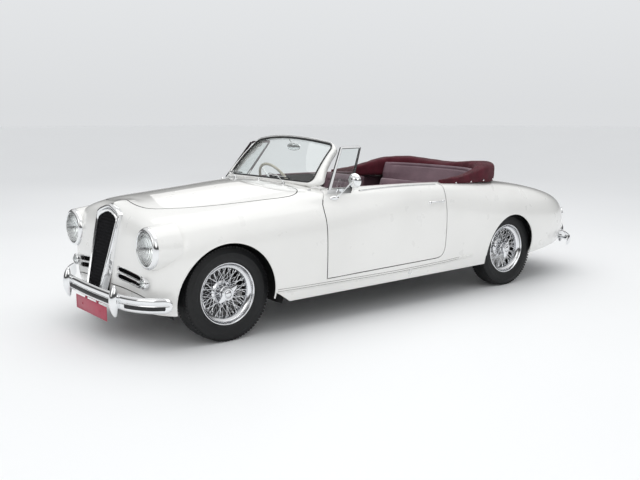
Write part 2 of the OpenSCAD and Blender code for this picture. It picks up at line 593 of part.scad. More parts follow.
module knuckle() {
  yk = front_track / 2 - pivot_offset; yw = front_track / 2;
  translate([front_axle_x, 0, 0]) {
    translate([0, yk, axle_z - 128]) cylinder(r = pivot_pin / 2, h = 280);
    translate([0, yk, axle_z - 90]) cylinder(r = 24, h = 210);
    translate([0, 0, axle_z]) {
      across(30, yk, yw - 60);
      across(drum_diameter / 2, yw - 66, yw - 42);
      across(hub_bore / 2 - fit, yw - 45, yw + 30);
    }
  }
}
module rear_axle() {
  yw = rear_track / 2;
  both() translate([rear_axle_x, 0, axle_z]) {
    across(shaft_diameter / 2, 170 * ky + g, yw - 70);
    across(60, yw - 92, yw - 60);
    across(hub_bore / 2 - fit, yw - 62, yw + 30);
    // trailing arm, reaching forward and inward to its pivot
    hull() { across(22, yw - 110, yw - 88); translate([400 * kx, 0, -40]) across(22, 250 * ky, 290 * ky); }
    translate([400 * kx, 0, -40]) translate([-12, 270 * ky, 0]) cube([24, 14, (430 * kz - g) - axle_z + 40]);
  }
}
module exhaust() {
  r = exhaust_diameter / 2;
  translate([0, -300 * ky, 205 * kz]) {
    along(r, -1480 * kx, 1200 * kx);
    for (x = [900, 0, -560]) translate([x * kx, -8, 0]) cube([16, 16, 246 * kz - g - 205 * kz]);
  }
  translate([-1700 * kx, -300 * ky, 235 * kz]) { along(62, -200 * kx, 230 * kx);
    translate([0, -8, 0]) cube([16, 16, 430 * kz - g - 235 * kz]); }
  translate([0, -300 * ky, 235 * kz]) along(r, -2300 * kx, -1880 * kx);
}
module fuel_tank() { block([-1900,-200,290], [-2220,400,429.6]); }

module tyre_shape() {
  f = rim_width / 2; r = rim_diameter / 2; w = tyre_width / 2; o = tyre_diameter / 2; b = f - 6.5;
  h = o - r;
  rotate([-90, 0, 0]) rotate_extrude() polygon([[r - 15.5,-b],[r + g,-b],[r + 2,-f],[r + h * 0.26,-w * 0.97],
    [r + h * 0.5,-w],[r + h * 0.78,-w * 0.92],[r + h * 0.94,-w * 0.76],[r + h * 0.99,-w * 0.5],[o,0],
    [r + h * 0.99,w * 0.5],[r + h * 0.94,w * 0.76],[r + h * 0.78,w * 0.92],[r + h * 0.5,w],[r + h * 0.26,w * 0.97],
    [r + 2,f],[r + g,b],[r - 15.5,b],[r - 15.5,b - 12],[r + 6,b - 8],[r + h * 0.3,w * 0.84],[r + h * 0.7,w * 0.8],
    [o - 14,w * 0.45],[o - 13,0],[o - 14,-w * 0.45],[r + h * 0.7,-w * 0.8],[r + h * 0.3,-w * 0.84],[r + 6,8 - b],
    [r - 15.5,12 - b]]);
}
// Wire wheel with a two-eared knock-off nut; its outer face looks along +Y
module wheel_shape() {
  f = rim_width / 2; r = rim_diameter / 2;
  difference() {
    union() {
      rotate([-90, 0, 0]) rotate_extrude() polygon([[r,-f],[r,6 - f],[r - 16,6 - f],[r - 17,18 - f],[r - 38,31 - f],
        [r - 38,f - 31],[r - 17,f - 18],[r - 16,f - 6],[r,f - 6],[r,f],[r - 22,f],[r - 26,f - 16],[r - 46,f - 28],
        [r - 46,28 - f],[r - 26,16 - f],[r - 22,-f]]);
      across(46, -34, 46);
      across(30, 46, 74);
      translate([0, 66, 0]) rotate([0, 20, 0]) translate([-88, 0, -11]) cube([176, 10, 22]);
      for (i = [0:spoke_count - 1]) rotate([0, i * 360 / spoke_count, 0]) {
        spoke([40,-26,0], [(r - 42) * cos(28), -4, (r - 42) * sin(28)]);
        rotate([0, 180 / spoke_count, 0]) spoke([40,38,0], [(r - 42) * cos(28), 10, -(r - 42) * sin(28)]);
      }
    }
    across(hub_bore / 2, -100, 40);
  }
}
module spoke(a, b) {
  d = b - a; l = norm(d);
  translate(a) rotate([0, acos(d[2] / l), atan2(d[1], d[0])]) cylinder(r = 3, h = l);
}
module at_wheel(x, track, s) { translate([x, 0, axle_z]) scale([1, s, 1]) translate([0, track / 2, 0]) children(); }

color("#3A3B3D") floor_pan();
color("#3A3B3D") rear_floor();
color("#3A3B3D") sill();  // sill_left
color("#3A3B3D") mirror([0, 1, 0]) sill();  // sill_right
color("#ECEBE6") fender();  // fender_left
color("#ECEBE6") mirror([0, 1, 0]) fender();  // fender_right
color("#ECEBE6") cowl();
color("#ECEBE6") bonnet();
color("#ECEBE6") door();  // door_left
color("#ECEBE6") mirror([0, 1, 0]) door();  // door_right
color("#ECEBE6") quarter();  // quarter_left
color("#ECEBE6") mirror([0, 1, 0]) quarter();  // quarter_right
color("#ECEBE6") tail_panel();
color("#ECEBE6") boot_lid();
color("#ECEBE6") windscreen_frame();
color("#CFE0E2") windscreen_glass();
color("#C9CCCF") quarter_light();  // quarter_light_left
color("#C9CCCF") mirror([0, 1, 0]) quarter_light();  // quarter_light_right
color("#C9CCCF") grille();
color("#D5DADD") headlamp();  // headlamp_left
color("#D5DADD") mirror([0, 1, 0]) headlamp();  // headlamp_right
color("#D5DADD") parking_lamps();
color("#C9CCCF") front_bumper();
color("#C9CCCF") rear_bumper();
color("#A8283A") front_plate();
color("#9A1F22") tail_lamps();
color("#E4E2DC") dashboard();
color("#D9D2C2") steering_wheel();
color("#6E4650") seat_front();  // seat_front_left
color("#6E4650") mirror([0, 1, 0]) seat_front();  // seat_front_right
color("#6E4650") seat_rear();
color("#561522") top_cover();
color("#6F7376") engine_block();
color("#7C8083") transaxle();
color("#2E2F31") front_axle();
color("#2E2F31") knuckle();  // knuckle_left
color("#2E2F31") mirror([0, 1, 0]) knuckle();  // knuckle_right
color("#2E2F31") rear_axle();
color("#55585A") exhaust();
color("#3A3B3D") fuel_tank();
color("#1B1B1C") at_wheel(front_axle_x, front_track, 1) tyre_shape();  // tyre_front_left
color("#1B1B1C") at_wheel(front_axle_x, front_track, -1) tyre_shape();  // tyre_front_right
color("#1B1B1C") at_wheel(rear_axle_x, rear_track, 1) tyre_shape();  // tyre_rear_left
color("#1B1B1C") at_wheel(rear_axle_x, rear_track, -1) tyre_shape();  // tyre_rear_right
color("#C9CCCF") at_wheel(front_axle_x, front_track, 1) wheel_shape();  // wheel_front_left
color("#C9CCCF") at_wheel(front_axle_x, front_track, -1) wheel_shape();  // wheel_front_right
color("#C9CCCF") at_wheel(rear_axle_x, rear_track, 1) wheel_shape();  // wheel_rear_left
color("#C9CCCF") at_wheel(rear_axle_x, rear_track, -1) wheel_shape();  // wheel_rear_right
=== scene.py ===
"""Looks of an open touring car of the early 1950s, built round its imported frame.

Metres: +X is the front of the car, +Y its left side, +Z up, ground at z = 0.
The body is one smooth spline surface; panels are cut from it along the same outlines as the frame's.
"""
import math

import bmesh
import bpy
import numpy as np
from mathutils import Matrix, Vector
from mathutils.bvhtree import BVHTree
from mathutils.geometry import barycentric_transform


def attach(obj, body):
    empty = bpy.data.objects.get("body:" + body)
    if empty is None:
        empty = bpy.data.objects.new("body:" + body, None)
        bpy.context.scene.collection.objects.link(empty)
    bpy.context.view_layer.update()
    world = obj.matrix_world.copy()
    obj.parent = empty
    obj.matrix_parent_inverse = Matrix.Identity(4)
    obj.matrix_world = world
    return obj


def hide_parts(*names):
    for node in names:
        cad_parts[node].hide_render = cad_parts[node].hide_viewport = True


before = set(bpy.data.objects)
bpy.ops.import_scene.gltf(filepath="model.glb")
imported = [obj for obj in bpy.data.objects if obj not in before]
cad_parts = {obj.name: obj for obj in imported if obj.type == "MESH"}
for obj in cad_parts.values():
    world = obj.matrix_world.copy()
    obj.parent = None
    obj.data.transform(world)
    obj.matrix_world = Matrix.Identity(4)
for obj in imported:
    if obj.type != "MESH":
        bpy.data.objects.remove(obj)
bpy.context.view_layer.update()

SCENE = bpy.context.scene
TAU = 2 * math.pi
SIDES = (("left", 1), ("right", -1))

# ---------------------------------------------------------------- driving sizes, in metres
FRONT_AXLE = Vector((1.720, 0, 0.331))
REAR_AXLE = Vector((-1.190, 0, 0.331))
FRONT_TRACK, REAR_TRACK = 1.280, 1.300
TYRE_R, TYRE_W = 0.331, 0.165
RIM_R, RIM_W = 0.216, 0.132
SKIN = 0.012
DOOR_THICK = 0.084
FRONT_ARCH_X, FRONT_ARCH_R = 1.755, TYRE_R + 0.041
REAR_ARCH_X, REAR_ARCH_R = -1.150, TYRE_R - 0.005
GAP = 0.007
LAMP_R = 0.140

# ---------------------------------------------------------------- materials
def clamp_color(c):
    """Three numbers with an opaque fourth."""
    return (*c, 1.0)


def color_ramp(tree, fac, stops):
    """Ramp node fed by a value, with its (position, colour) stops in order."""
    made = tree.nodes.new("ShaderNodeValToRGB")
    elements = made.color_ramp.elements
    while len(elements) < len(stops):
        elements.new(0.5)
    for element, (spot, color) in zip(elements, stops):
        element.position = spot
        element.color = clamp_color(color)
    tree.links.new(fac, made.inputs["Fac"])
    return made.outputs["Color"]


class Finish:
    """A node material: one Principled shader, with helpers that add pattern, bump and roughness."""

    def __init__(self, name, color, rough, metal=0.0, **sockets):
        self.mat = bpy.data.materials.new(name)
        self.mat.use_nodes = True
        self.tree = self.mat.node_tree
        self.shader = self.tree.nodes["Principled BSDF"]
        self.put("Base Color", clamp_color(color))
        self.put("Roughness", rough)
        self.put("Metallic", metal)
        for key, value in sockets.items():
            self.put(key.replace("_", " "), value)
        self.where = self.tree.nodes.new("ShaderNodeTexCoord").outputs["Object"]
        self.height = None

    def put(self, socket, value):
        self.shader.inputs[socket].default_value = value

    def node(self, kind, **values):
        made = self.tree.nodes.new("ShaderNode" + kind)
        for key, value in values.items():
            if hasattr(made, key):
                setattr(made, key, value)
            else:
                made.inputs[key.replace("_", " ")].default_value = value
        return made

    def link(self, out, into):
        self.tree.links.new(out, into)

    def pattern(self, kind, out, **values):
        made = self.node(kind, **values)
        self.link(self.where, made.inputs["Vector"])
        return made.outputs[out]

    def noise(self, scale, detail=3.0):
        return self.pattern("TexNoise", "Fac", Scale=scale, Detail=detail)

    def cells(self, scale):
        return self.pattern("TexVoronoi", "Distance", Scale=scale)

    def wave(self, scale, direction):
        return self.pattern("TexWave", "Fac", Scale=scale, bands_direction=direction)

    def tint(self, fac, stops):
        self.link(color_ramp(self.tree, fac, stops), self.shader.inputs["Base Color"])
        return self

    def vary(self, fac, low, high):
        made = self.node("MapRange", To_Min=low, To_Max=high)
        self.link(fac, made.inputs["Value"])
        self.link(made.outputs["Result"], self.shader.inputs["Roughness"])
        return self

    def bump(self, fac, distance, strength=1.0):
        made = self.node("Bump", Distance=distance, Strength=strength)
        self.link(fac, made.inputs["Height"])
        if self.height is not None:
            self.link(self.height, made.inputs["Normal"])
        self.height = made.outputs["Normal"]
        self.link(self.height, self.shader.inputs["Normal"])
        return self


def paint(name, low, high):
    made = Finish(name, high, 0.28, Coat_Weight=1.0, Coat_Roughness=0.03, Coat_IOR=1.5)
    made.tint(made.noise(1.7, 2), [(0.35, low), (0.65, high)])
    made.vary(made.noise(9, 3), 0.24, 0.34)
    return made.bump(made.noise(260, 2), 0.00004, 0.5)


def chrome_finish(name, color=(0.86, 0.87, 0.88), rough=(0.03, 0.10)):
    made = Finish(name, color, rough[0], 1.0)
    made.vary(made.noise(24, 4), *rough)
    return made.bump(made.noise(14, 2), 0.0002, 0.35)


def leather(name, dark, light):
    made = Finish(name, light, 0.42, Specular_IOR_Level=0.5, Sheen_Weight=0.12, Sheen_Roughness=0.5)
    made.tint(made.noise(5, 5), [(0.3, dark), (0.7, light)])
    made.vary(made.noise(30, 4), 0.36, 0.56)
    made.bump(made.cells(420), 0.0005, 0.45)
    return made.bump(made.noise(34, 3), 0.0012, 0.3)


def cloth(name, dark, light):
    made = Finish(name, light, 0.85, Sheen_Weight=0.06, Sheen_Roughness=0.6, Specular_IOR_Level=0.2)
    made.tint(made.noise(16, 6), [(0.3, dark), (0.75, light)])
    made.bump(made.wave(260, direction="X"), 0.0004, 0.5)
    made.bump(made.wave(260, direction="Y"), 0.0004, 0.5)
    return made.bump(made.noise(12, 4), 0.002, 0.2)


def carpet(name, dark, light):
    made = Finish(name, light, 0.95, Sheen_Weight=0.5, Sheen_Roughness=0.5, Specular_IOR_Level=0.1)
    made.tint(made.noise(90, 6), [(0.3, dark), (0.7, light)])
    return made.bump(made.noise(600, 4), 0.003, 0.9)


def rubber_finish(name, color, rough=(0.42, 0.62)):
    made = Finish(name, color, rough[0], Specular_IOR_Level=0.42)
    made.tint(made.noise(20, 5), [(0.3, tuple(c * 0.75 for c in color)), (0.7, color)])
    made.vary(made.noise(50, 4), *rough)
    return made.bump(made.noise(380, 3), 0.0003, 0.35)


def metal_finish(name, dark, light, rough, metal=0.8, scale=40, depth=0.0006):
    made = Finish(name, light, rough, metal)
    made.tint(made.noise(scale, 5), [(0.3, dark), (0.7, light)])
    made.vary(made.noise(scale * 2, 4), rough * 0.8, min(1, rough * 1.3))
    return made.bump(made.noise(scale * 5, 4), depth, 0.5)


def glass_finish(name, color, rough=0.0):
    made = Finish(name, color, rough, Transmission_Weight=1.0, IOR=1.45)
    return made.bump(made.noise(3, 2), 0.0002, 0.2)


IVORY = paint("ivory_paint", (0.80, 0.795, 0.775), (0.84, 0.835, 0.815))
ENAMEL = paint("dash_enamel", (0.72, 0.71, 0.68), (0.77, 0.76, 0.73))
CHROME = chrome_finish("polished_chrome")
RIM_CHROME = chrome_finish("wheel_chrome", (0.84, 0.85, 0.87), (0.06, 0.16))
REFLECTOR = chrome_finish("lamp_reflector", (0.93, 0.93, 0.92), (0.08, 0.14))
MIRROR = chrome_finish("mirror_face", (0.9, 0.92, 0.93), (0.0, 0.02))
RUBBER = rubber_finish("seal_rubber", (0.018, 0.018, 0.019))
TYRE = rubber_finish("tyre_rubber", (0.010, 0.0105, 0.0115), (0.50, 0.72))
# SHADOW is near-black painted shade: pipes under the shut lines, plates behind the air slots and a sheet
# behind the grille mesh
SHADOW = metal_finish("painted_shade_black", (0.004, 0.004, 0.004), (0.008, 0.008, 0.008), 0.9, 0.0)
# the chassis's own enamel, also used as painted shade for the thin lines along the sill mouldings
CHASSIS_AND_CREASE_SHADE = metal_finish("chassis_enamel_and_crease_shade", (0.012, 0.012, 0.013), (0.030, 0.030, 0.032), 0.45, 0.0, 30)
UNDERSEAL = metal_finish("underseal", (0.008, 0.008, 0.008), (0.016, 0.016, 0.016), 0.85, 0.0, 60, 0.002)
CAST = metal_finish("cast_alloy", (0.24, 0.25, 0.26), (0.40, 0.41, 0.42), 0.5, 0.85)
PIPE = metal_finish("exhaust_steel", (0.16, 0.13, 0.11), (0.34, 0.32, 0.30), 0.45, 0.9, 22)
GUNMETAL = metal_finish("grille_wire", (0.016, 0.016, 0.018), (0.036, 0.036, 0.040), 0.6, 0.0, 80, 0.0001)
for dull in (SHADOW, GUNMETAL):
    dull.put("Specular IOR Level", 0.08)
PLUM = leather("plum_leather", (0.105, 0.056, 0.074), (0.185, 0.108, 0.134))
PIPING = leather("piping_leather", (0.085, 0.030, 0.042), (0.13, 0.05, 0.066))
BURGUNDY = cloth("burgundy_cloth", (0.050, 0.0035, 0.009), (0.088, 0.007, 0.017))
CARPET = carpet("wine_carpet", (0.030, 0.007, 0.012), (0.066, 0.016, 0.026))
IVORY_PLASTIC = metal_finish("ivory_plastic", (0.58, 0.52, 0.42), (0.70, 0.65, 0.54), 0.28, 0.0, 12, 0.0002)
PLATE_RED = metal_finish("red_enamel", (0.36, 0.035, 0.07), (0.42, 0.045, 0.085), 0.35, 0.0, 15, 0.0002)
DIAL = metal_finish("dial_face", (0.02, 0.02, 0.02), (0.035, 0.035, 0.035), 0.4, 0.0, 15, 0.0001)
GLASS = glass_finish("clear_glass", (0.93, 0.97, 0.965))
LENS = glass_finish("lamp_glass", (0.96, 0.98, 0.985), rough=0.02)
LENS.bump(LENS.wave(26, direction="Y"), 0.004, 0.35)
RED_LENS = Finish("red_lens", (0.42, 0.008, 0.012), 0.12, Coat_Weight=1.0, Transmission_Weight=0.35)
RED_LENS.bump(RED_LENS.wave(60, direction="Z"), 0.001, 0.6)
RED_LENS.vary(RED_LENS.noise(40), 0.08, 0.18)


# ---------------------------------------------------------------- making pieces
def mesh_from(name, bm):
    """Writes a bmesh into a new mesh and frees it."""
    mesh = bpy.data.meshes.new(name)
    bm.to_mesh(mesh)
    bm.free()
    return mesh


def linked(name, data):
    """Object that holds the data, linked to the scene."""
    ob = bpy.data.objects.new(name, data)
    SCENE.collection.objects.link(ob)
    return ob


def evaluated(ob):
    """Mesh of an object with its modifiers or its bevel applied."""
    return bpy.data.meshes.new_from_object(ob.evaluated_get(bpy.context.evaluated_depsgraph_get()))


def piece(name, bm, body, finishes, replaces=(), sharp=35):
    """Turns a bmesh into a finished object that rides on a body."""
    return dress(name, mesh_from(name, bm), body, finishes, replaces, sharp)


def dress(name, mesh, body, finishes, replaces=(), sharp=35):
    """Gives a mesh its object, materials, shading and body."""
    ob = linked(name, mesh)
    mesh.materials.clear()
    for f in finishes if isinstance(finishes, list) else [finishes]:
        mesh.materials.append(f.mat)
    mesh.polygons.foreach_set("use_smooth", [True] * len(mesh.polygons))
    if sharp:
        mesh.set_sharp_from_angle(angle=math.radians(sharp))
    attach(ob, body)
    if replaces:
        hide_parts(*replaces)
    return ob


def outward(bm):
    bmesh.ops.recalc_face_normals(bm, faces=bm.faces)


def clean(bm):
    """Merges doubled vertices and turns every face outwards."""
    bmesh.ops.remove_doubles(bm, verts=bm.verts, dist=1e-6)
    outward(bm)


def close_ends(bm):
    """Fills every open edge with a face."""
    bmesh.ops.holes_fill(bm, edges=[e for e in bm.edges if e.is_boundary], sides=0)
    outward(bm)


def flip(bm):
    """Moves everything to the other side of the car."""
    bmesh.ops.scale(bm, vec=(1, -1, 1), verts=bm.verts)
    bmesh.ops.reverse_faces(bm, faces=bm.faces)


def round_edges(bm, edges, offset, segments):
    return bmesh.ops.bevel(bm, geom=edges, offset=offset, segments=segments, profile=0.5,
                           affect="EDGES", material=-1)["verts"]


def only(kind, geom):
    """Elements of one kind among the results of an operator."""
    return [g for g in geom if isinstance(g, kind)]


def join_rings(bm, rings):
    """Closed rings of points joined in turn, and the last one to the first."""
    loops = []
    for ring in rings:
        verts = [bm.verts.new(p) for p in ring]
        loops.append([bm.edges.new(pair) for pair in zip(verts, verts[1:] + verts[:1])])
    for a, b in zip(loops, loops[1:] + loops[:1]):
        bmesh.ops.bridge_loops(bm, edges=a + b)
    outward(bm)


def painted(bm, faces_before, index):
    """Gives the faces made since a count to one material."""
    bm.faces.ensure_lookup_table()
    for f in bm.faces[faces_before:]:
        f.material_index = index


def outline_face(bm, points):
    return bm.faces.new([bm.verts.new(p) for p in points])


def prism(bm, points, push):
    """Flat outline pushed along a vector into a closed solid."""
    face = outline_face(bm, points)
    out = bmesh.ops.extrude_face_region(bm, geom=[face], use_keep_orig=True)["geom"]
    moved = only(bmesh.types.BMVert, out)
    bmesh.ops.translate(bm, vec=Vector(push), verts=moved)
    return moved


def lathe(bm, profile, matrix=None, steps=64, closed=False):
    """Profile of (radius, height) turned about the local Z axis, then placed by a matrix."""
    verts = [bm.verts.new((r, 0, h)) for r, h in profile]
    edges = [bm.edges.new(pair) for pair in zip(verts, verts[1:] + (verts[:1] if closed else []))
             if pair[0] is not pair[1]]
    out = bmesh.ops.spin(bm, geom=verts + edges, cent=(0, 0, 0), axis=(0, 0, 1), angle=TAU,
                         steps=steps, use_merge=True, use_duplicate=False)
    made = connected(verts + only(bmesh.types.BMVert, out["geom_last"]))
    bmesh.ops.remove_doubles(bm, verts=made, dist=1e-6)
    made = connected([v for v in made if v.is_valid][:1])
    faces = list({f for v in made for f in v.link_faces})
    bmesh.ops.recalc_face_normals(bm, faces=faces)
    if matrix is not None:
        bmesh.ops.transform(bm, matrix=matrix, verts=made)
    return made


def connected(seeds):
    """Every vertex that edges join to the given ones."""
    seen, todo = set(seeds), list(seeds)
    while todo:
        for e in todo.pop().link_edges:
            for v in e.verts:
                if v not in seen:
                    seen.add(v)
                    todo.append(v)
    return list(seen)


def facing(point, direction):
    """Matrix that puts a lathe's Z axis at a point along a direction."""
    quat = Vector(direction).normalized().to_track_quat("Z", "Y")
    return Matrix.Translation(point) @ quat.to_matrix().to_4x4()


def pipe(bm, points, radius, cyclic=False, sides=3):
    """Round bar along points, made with a bevelled curve."""
    data = bpy.data.curves.new("bar", "CURVE")
    data.dimensions = "3D"
    data.bevel_depth = radius
    data.bevel_resolution = sides
    data.use_fill_caps = not cyclic
    line = data.splines.new("POLY")
    line.points.add(len(points) - 1)
    for spot, p in zip(line.points, points):
        spot.co = (*p, 1)
    line.use_cyclic_u = cyclic
    holder = linked("bar", data)
    mesh = evaluated(holder)
    bm.from_mesh(mesh)
    bpy.data.objects.remove(holder)
    bpy.data.curves.remove(data)
    bpy.data.meshes.remove(mesh)


def patch(bm, f, nu, nv, closed=False):
    """Grid of nu by nv faces bent to the surface f(s, t), with s and t from 0 to 1."""
    out = bmesh.ops.create_grid(bm, x_segments=nu, y_segments=nv, size=0.5)["verts"]
    for v in out:
        v.co = f(v.co.x + 0.5, v.co.y + 0.5)
    if closed:
        bmesh.ops.remove_doubles(bm, verts=out, dist=1e-6)
        out = [v for v in out if v.is_valid]
    faces = list({g for v in out for g in v.link_faces})
    bmesh.ops.recalc_face_normals(bm, faces=faces)
    return out


def slab(bm, lo, hi, bevel, segments=3):
    """Block between two corners with rounded edges."""
    size = Vector(hi) - Vector(lo)
    out = bmesh.ops.create_cube(bm, size=1)["verts"]
    bmesh.ops.scale(bm, vec=size, verts=out)
    bmesh.ops.translate(bm, vec=(Vector(lo) + Vector(hi)) / 2, verts=out)
    round_edges(bm, list({e for v in out for e in v.link_edges}), bevel, segments)


def side_slab(bm, s, lo, hi, bevel, segments=3):
    """Block given for the left side, put on side s of the car."""
    ends = sorted((s * lo[1], s * hi[1]))
    slab(bm, (lo[0], ends[0], lo[2]), (hi[0], ends[1], hi[2]), bevel, segments)


def mirrored(bm):
    """Adds the same shape on the other side of the car."""
    geom = bm.verts[:] + bm.edges[:] + bm.faces[:]
    copy = bmesh.ops.duplicate(bm, geom=geom)["geom"]
    bmesh.ops.scale(bm, vec=(1, -1, 1), verts=only(bmesh.types.BMVert, copy))
    bmesh.ops.reverse_faces(bm, faces=only(bmesh.types.BMFace, copy))


def catmull_rom(a, b, c, d, t):
    """Value between b and c of the smooth line through four values."""
    return 0.5 * (2 * b + (c - a) * t + (2 * a - 5 * b + 4 * c - d) * t * t
                  + (3 * b - a - 3 * c + d) * t ** 3)


def curve_through(points, per=8):
    """Smooth line through points."""
    pts = [Vector(p) for p in points]
    last = len(pts) - 1
    out = []
    for i in range(last):
        four = [pts[max(0, min(last, i + k))] for k in (-1, 0, 1, 2)]
        out += [catmull_rom(*four, k / per) for k in range(per)]
    out.append(pts[-1])
    return out


def rounded(outline, times=2):
    """Outline with its corners cut again and again, until it looks curved."""
    for _ in range(times):
        out = []
        for a, b in zip(outline, outline[1:] + outline[:1]):
            a, b = np.array(a, float), np.array(b, float)
            out += [tuple(a * 0.8 + b * 0.2), tuple(a * 0.2 + b * 0.8)]
        outline = out
    return outline


def grown(outline, d):
    """Closed outline moved outwards by d, with square corners."""
    pts = [np.array(p, float) for p in outline]
    area = sum(a[0] * b[1] - b[0] * a[1] for a, b in zip(pts, pts[1:] + pts[:1]))
    side = 1 if area > 0 else -1
    out = []
    for a, b, c in zip(pts[-1:] + pts[:-1], pts, pts[1:] + pts[:1]):
        n1 = np.array([(b - a)[1], -(b - a)[0]]) * side / np.linalg.norm(b - a)
        n2 = np.array([(c - b)[1], -(c - b)[0]]) * side / np.linalg.norm(c - b)
        out.append(tuple(b + (n1 + n2) * d / (1 + n1 @ n2)))
    return out


# ---------------------------------------------------------------- the body surface
# Stations round the left half from the nose centre to the tail centre, in millimetres:
# [centre x, direction of its ray in plan, reach from the centre and height at eleven lines].
STATIONS = [
    [2205, 0, [[115, 250], [112, 310], [105, 400], [92, 500], [76, 600], [58, 700], [42, 785],
     [28, 845], [16, 885], [7, 915], [0, 930]]],
    [2165, 38.7, [[185, 250], [190, 310], [184, 400], [165, 500], [142, 600], [121, 700], [100, 785],
     [80, 850], [58, 896], [30, 922], [0, 938]]],
    [2115, 60, [[296, 250], [312, 310], [320, 400], [312, 500], [297, 600], [277, 700], [253, 785],
     [217, 850], [155, 898], [78, 928], [0, 943]]],
    [2065, 66, [[462, 250], [482, 310], [494, 400], [490, 500], [476, 600], [454, 700], [422, 785],
     [366, 850], [260, 900], [128, 930], [0, 942]]],
    [2025, 71, [[622, 245], [648, 310], [672, 400], [674, 500], [664, 600], [648, 700], [616, 790],
     [532, 852], [368, 905], [182, 930], [0, 938]]],
    [1995, 77, [[708, 240], [732, 310], [750, 410], [758, 520], [752, 630], [732, 730], [680, 808],
     [568, 866], [392, 912], [195, 936], [0, 943]]],
    [1955, 85, [[772, 235], [792, 310], [804, 430], [808, 570], [796, 695], [757, 785], [692, 848],
     [586, 893], [420, 925], [210, 945], [0, 952]]],
    [1720, 90, [[785, 225], [805, 300], [813, 430], [818, 590], [808, 720], [768, 815], [705, 875],
     [600, 915], [430, 945], [215, 965], [0, 972]]],
    [1345, 90, [[775, 225], [800, 300], [808, 430], [811, 590], [804, 735], [765, 835], [705, 895],
     [615, 940], [440, 975], [220, 997], [0, 1003]]],
    [925, 90, [[765, 225], [790, 300], [797, 430], [799, 590], [796, 740], [758, 838], [708, 890],
     [688, 975], [500, 1008], [260, 1027], [0, 1033]]],
    [315, 90, [[765, 230], [790, 305], [800, 430], [808, 590], [806, 740], [795, 840], [775, 910],
     [745, 985], [520, 1000], [260, 1005], [0, 1005]]],
    [-295, 90, [[762, 235], [788, 310], [803, 430], [814, 590], [818, 720], [808, 830], [790, 905],
     [758, 975], [520, 985], [260, 990], [0, 990]]],
    [-715, 90, [[765, 240], [795, 315], [818, 430], [832, 580], [832, 700], [812, 800], [778, 885],
     [738, 955], [520, 965], [260, 970], [0, 970]]],
    [-1165, 90, [[775, 245], [805, 320], [826, 440], [836, 570], [828, 690], [795, 785], [750, 860],
     [690, 915], [500, 935], [250, 945], [0, 948]]],
    [-1585, 90, [[745, 270], [770, 345], [792, 450], [797, 560], [780, 670], [740, 755], [690, 815],
     [620, 860], [450, 880], [220, 888], [0, 890]]],
    [-1835, 96, [[700, 300], [725, 365], [742, 450], [748, 545], [730, 640], [690, 715], [630, 765],
     [545, 800], [380, 820], [190, 828], [0, 830]]],
    [-1915, 108.7, [[640, 315], [662, 375], [678, 450], [682, 530], [668, 610], [628, 680],
     [565, 730], [470, 765], [320, 788], [160, 798], [0, 800]]],
    [-1975, 123.7, [[535, 320], [555, 380], [570, 450], [575, 520], [560, 590], [522, 655],
     [465, 705], [380, 742], [260, 768], [130, 780], [0, 784]]],
    [-2025, 143.7, [[385, 320], [402, 380], [416, 450], [421, 515], [410, 580], [380, 640],
     [335, 690], [270, 728], [180, 755], [90, 768], [0, 772]]],
    [-2065, 180, [[285, 320], [302, 380], [315, 450], [320, 515], [310, 580], [285, 638], [248, 688],
     [195, 722], [130, 748], [65, 760], [0, 765]]],
]


def control_net():
    """Control points of the left half, with one more row at each edge."""
    rows = []
    for x, turn, line in STATIONS:
        c, s = math.cos(math.radians(turn)), math.sin(math.radians(turn))
        rows.append([(x + r * c, r * s, z) for r, z in line])
    net = np.array(rows) / 1000
    over = net[:, -2] * (1, -1, 1)
    net = np.concatenate([2 * net[:, :1] - net[:, 1:2], net, over[:, None]], axis=1)
    flip = np.array((1, -1, 1))
    return np.concatenate([(net[1] * flip)[None], net, (net[-2] * flip)[None]], axis=0)


NET = control_net()
U_END, V_END = len(STATIONS) - 1, len(STATIONS[0][2]) - 1


def weights(t):
    """Shares of four control points at a place between the middle two."""
    return np.array([(1 - t) ** 3, 3 * t ** 3 - 6 * t * t + 4,
                     -3 * t ** 3 + 3 * t * t + 3 * t + 1, t ** 3]) / 6


def slopes(t):
    """Rates at which those shares change."""
    return np.array([-(1 - t) ** 2, 3 * t * t - 4 * t, -3 * t * t + 2 * t + 1, t * t]) / 2


def body_at(u, v):
    """Point and outward direction of the surface, u 0 at the nose to U_END, v 0 at the sill to V_END."""
    i, j = min(int(u), U_END - 1), min(int(v), V_END - 1)
    cell = NET[i:i + 4, j:j + 4]
    a, b = u - i, v - j
    spot = np.einsum("i,j,ijk", weights(a), weights(b), cell)
    du = np.einsum("i,j,ijk", slopes(a), weights(b), cell)
    dv = np.einsum("i,j,ijk", weights(a), slopes(b), cell)
    n = np.cross(du, dv)
    if u <= 0 or u >= U_END or v >= V_END:
        n[1] = 0
    return Vector(spot), Vector(n / max(np.linalg.norm(n), 1e-12))


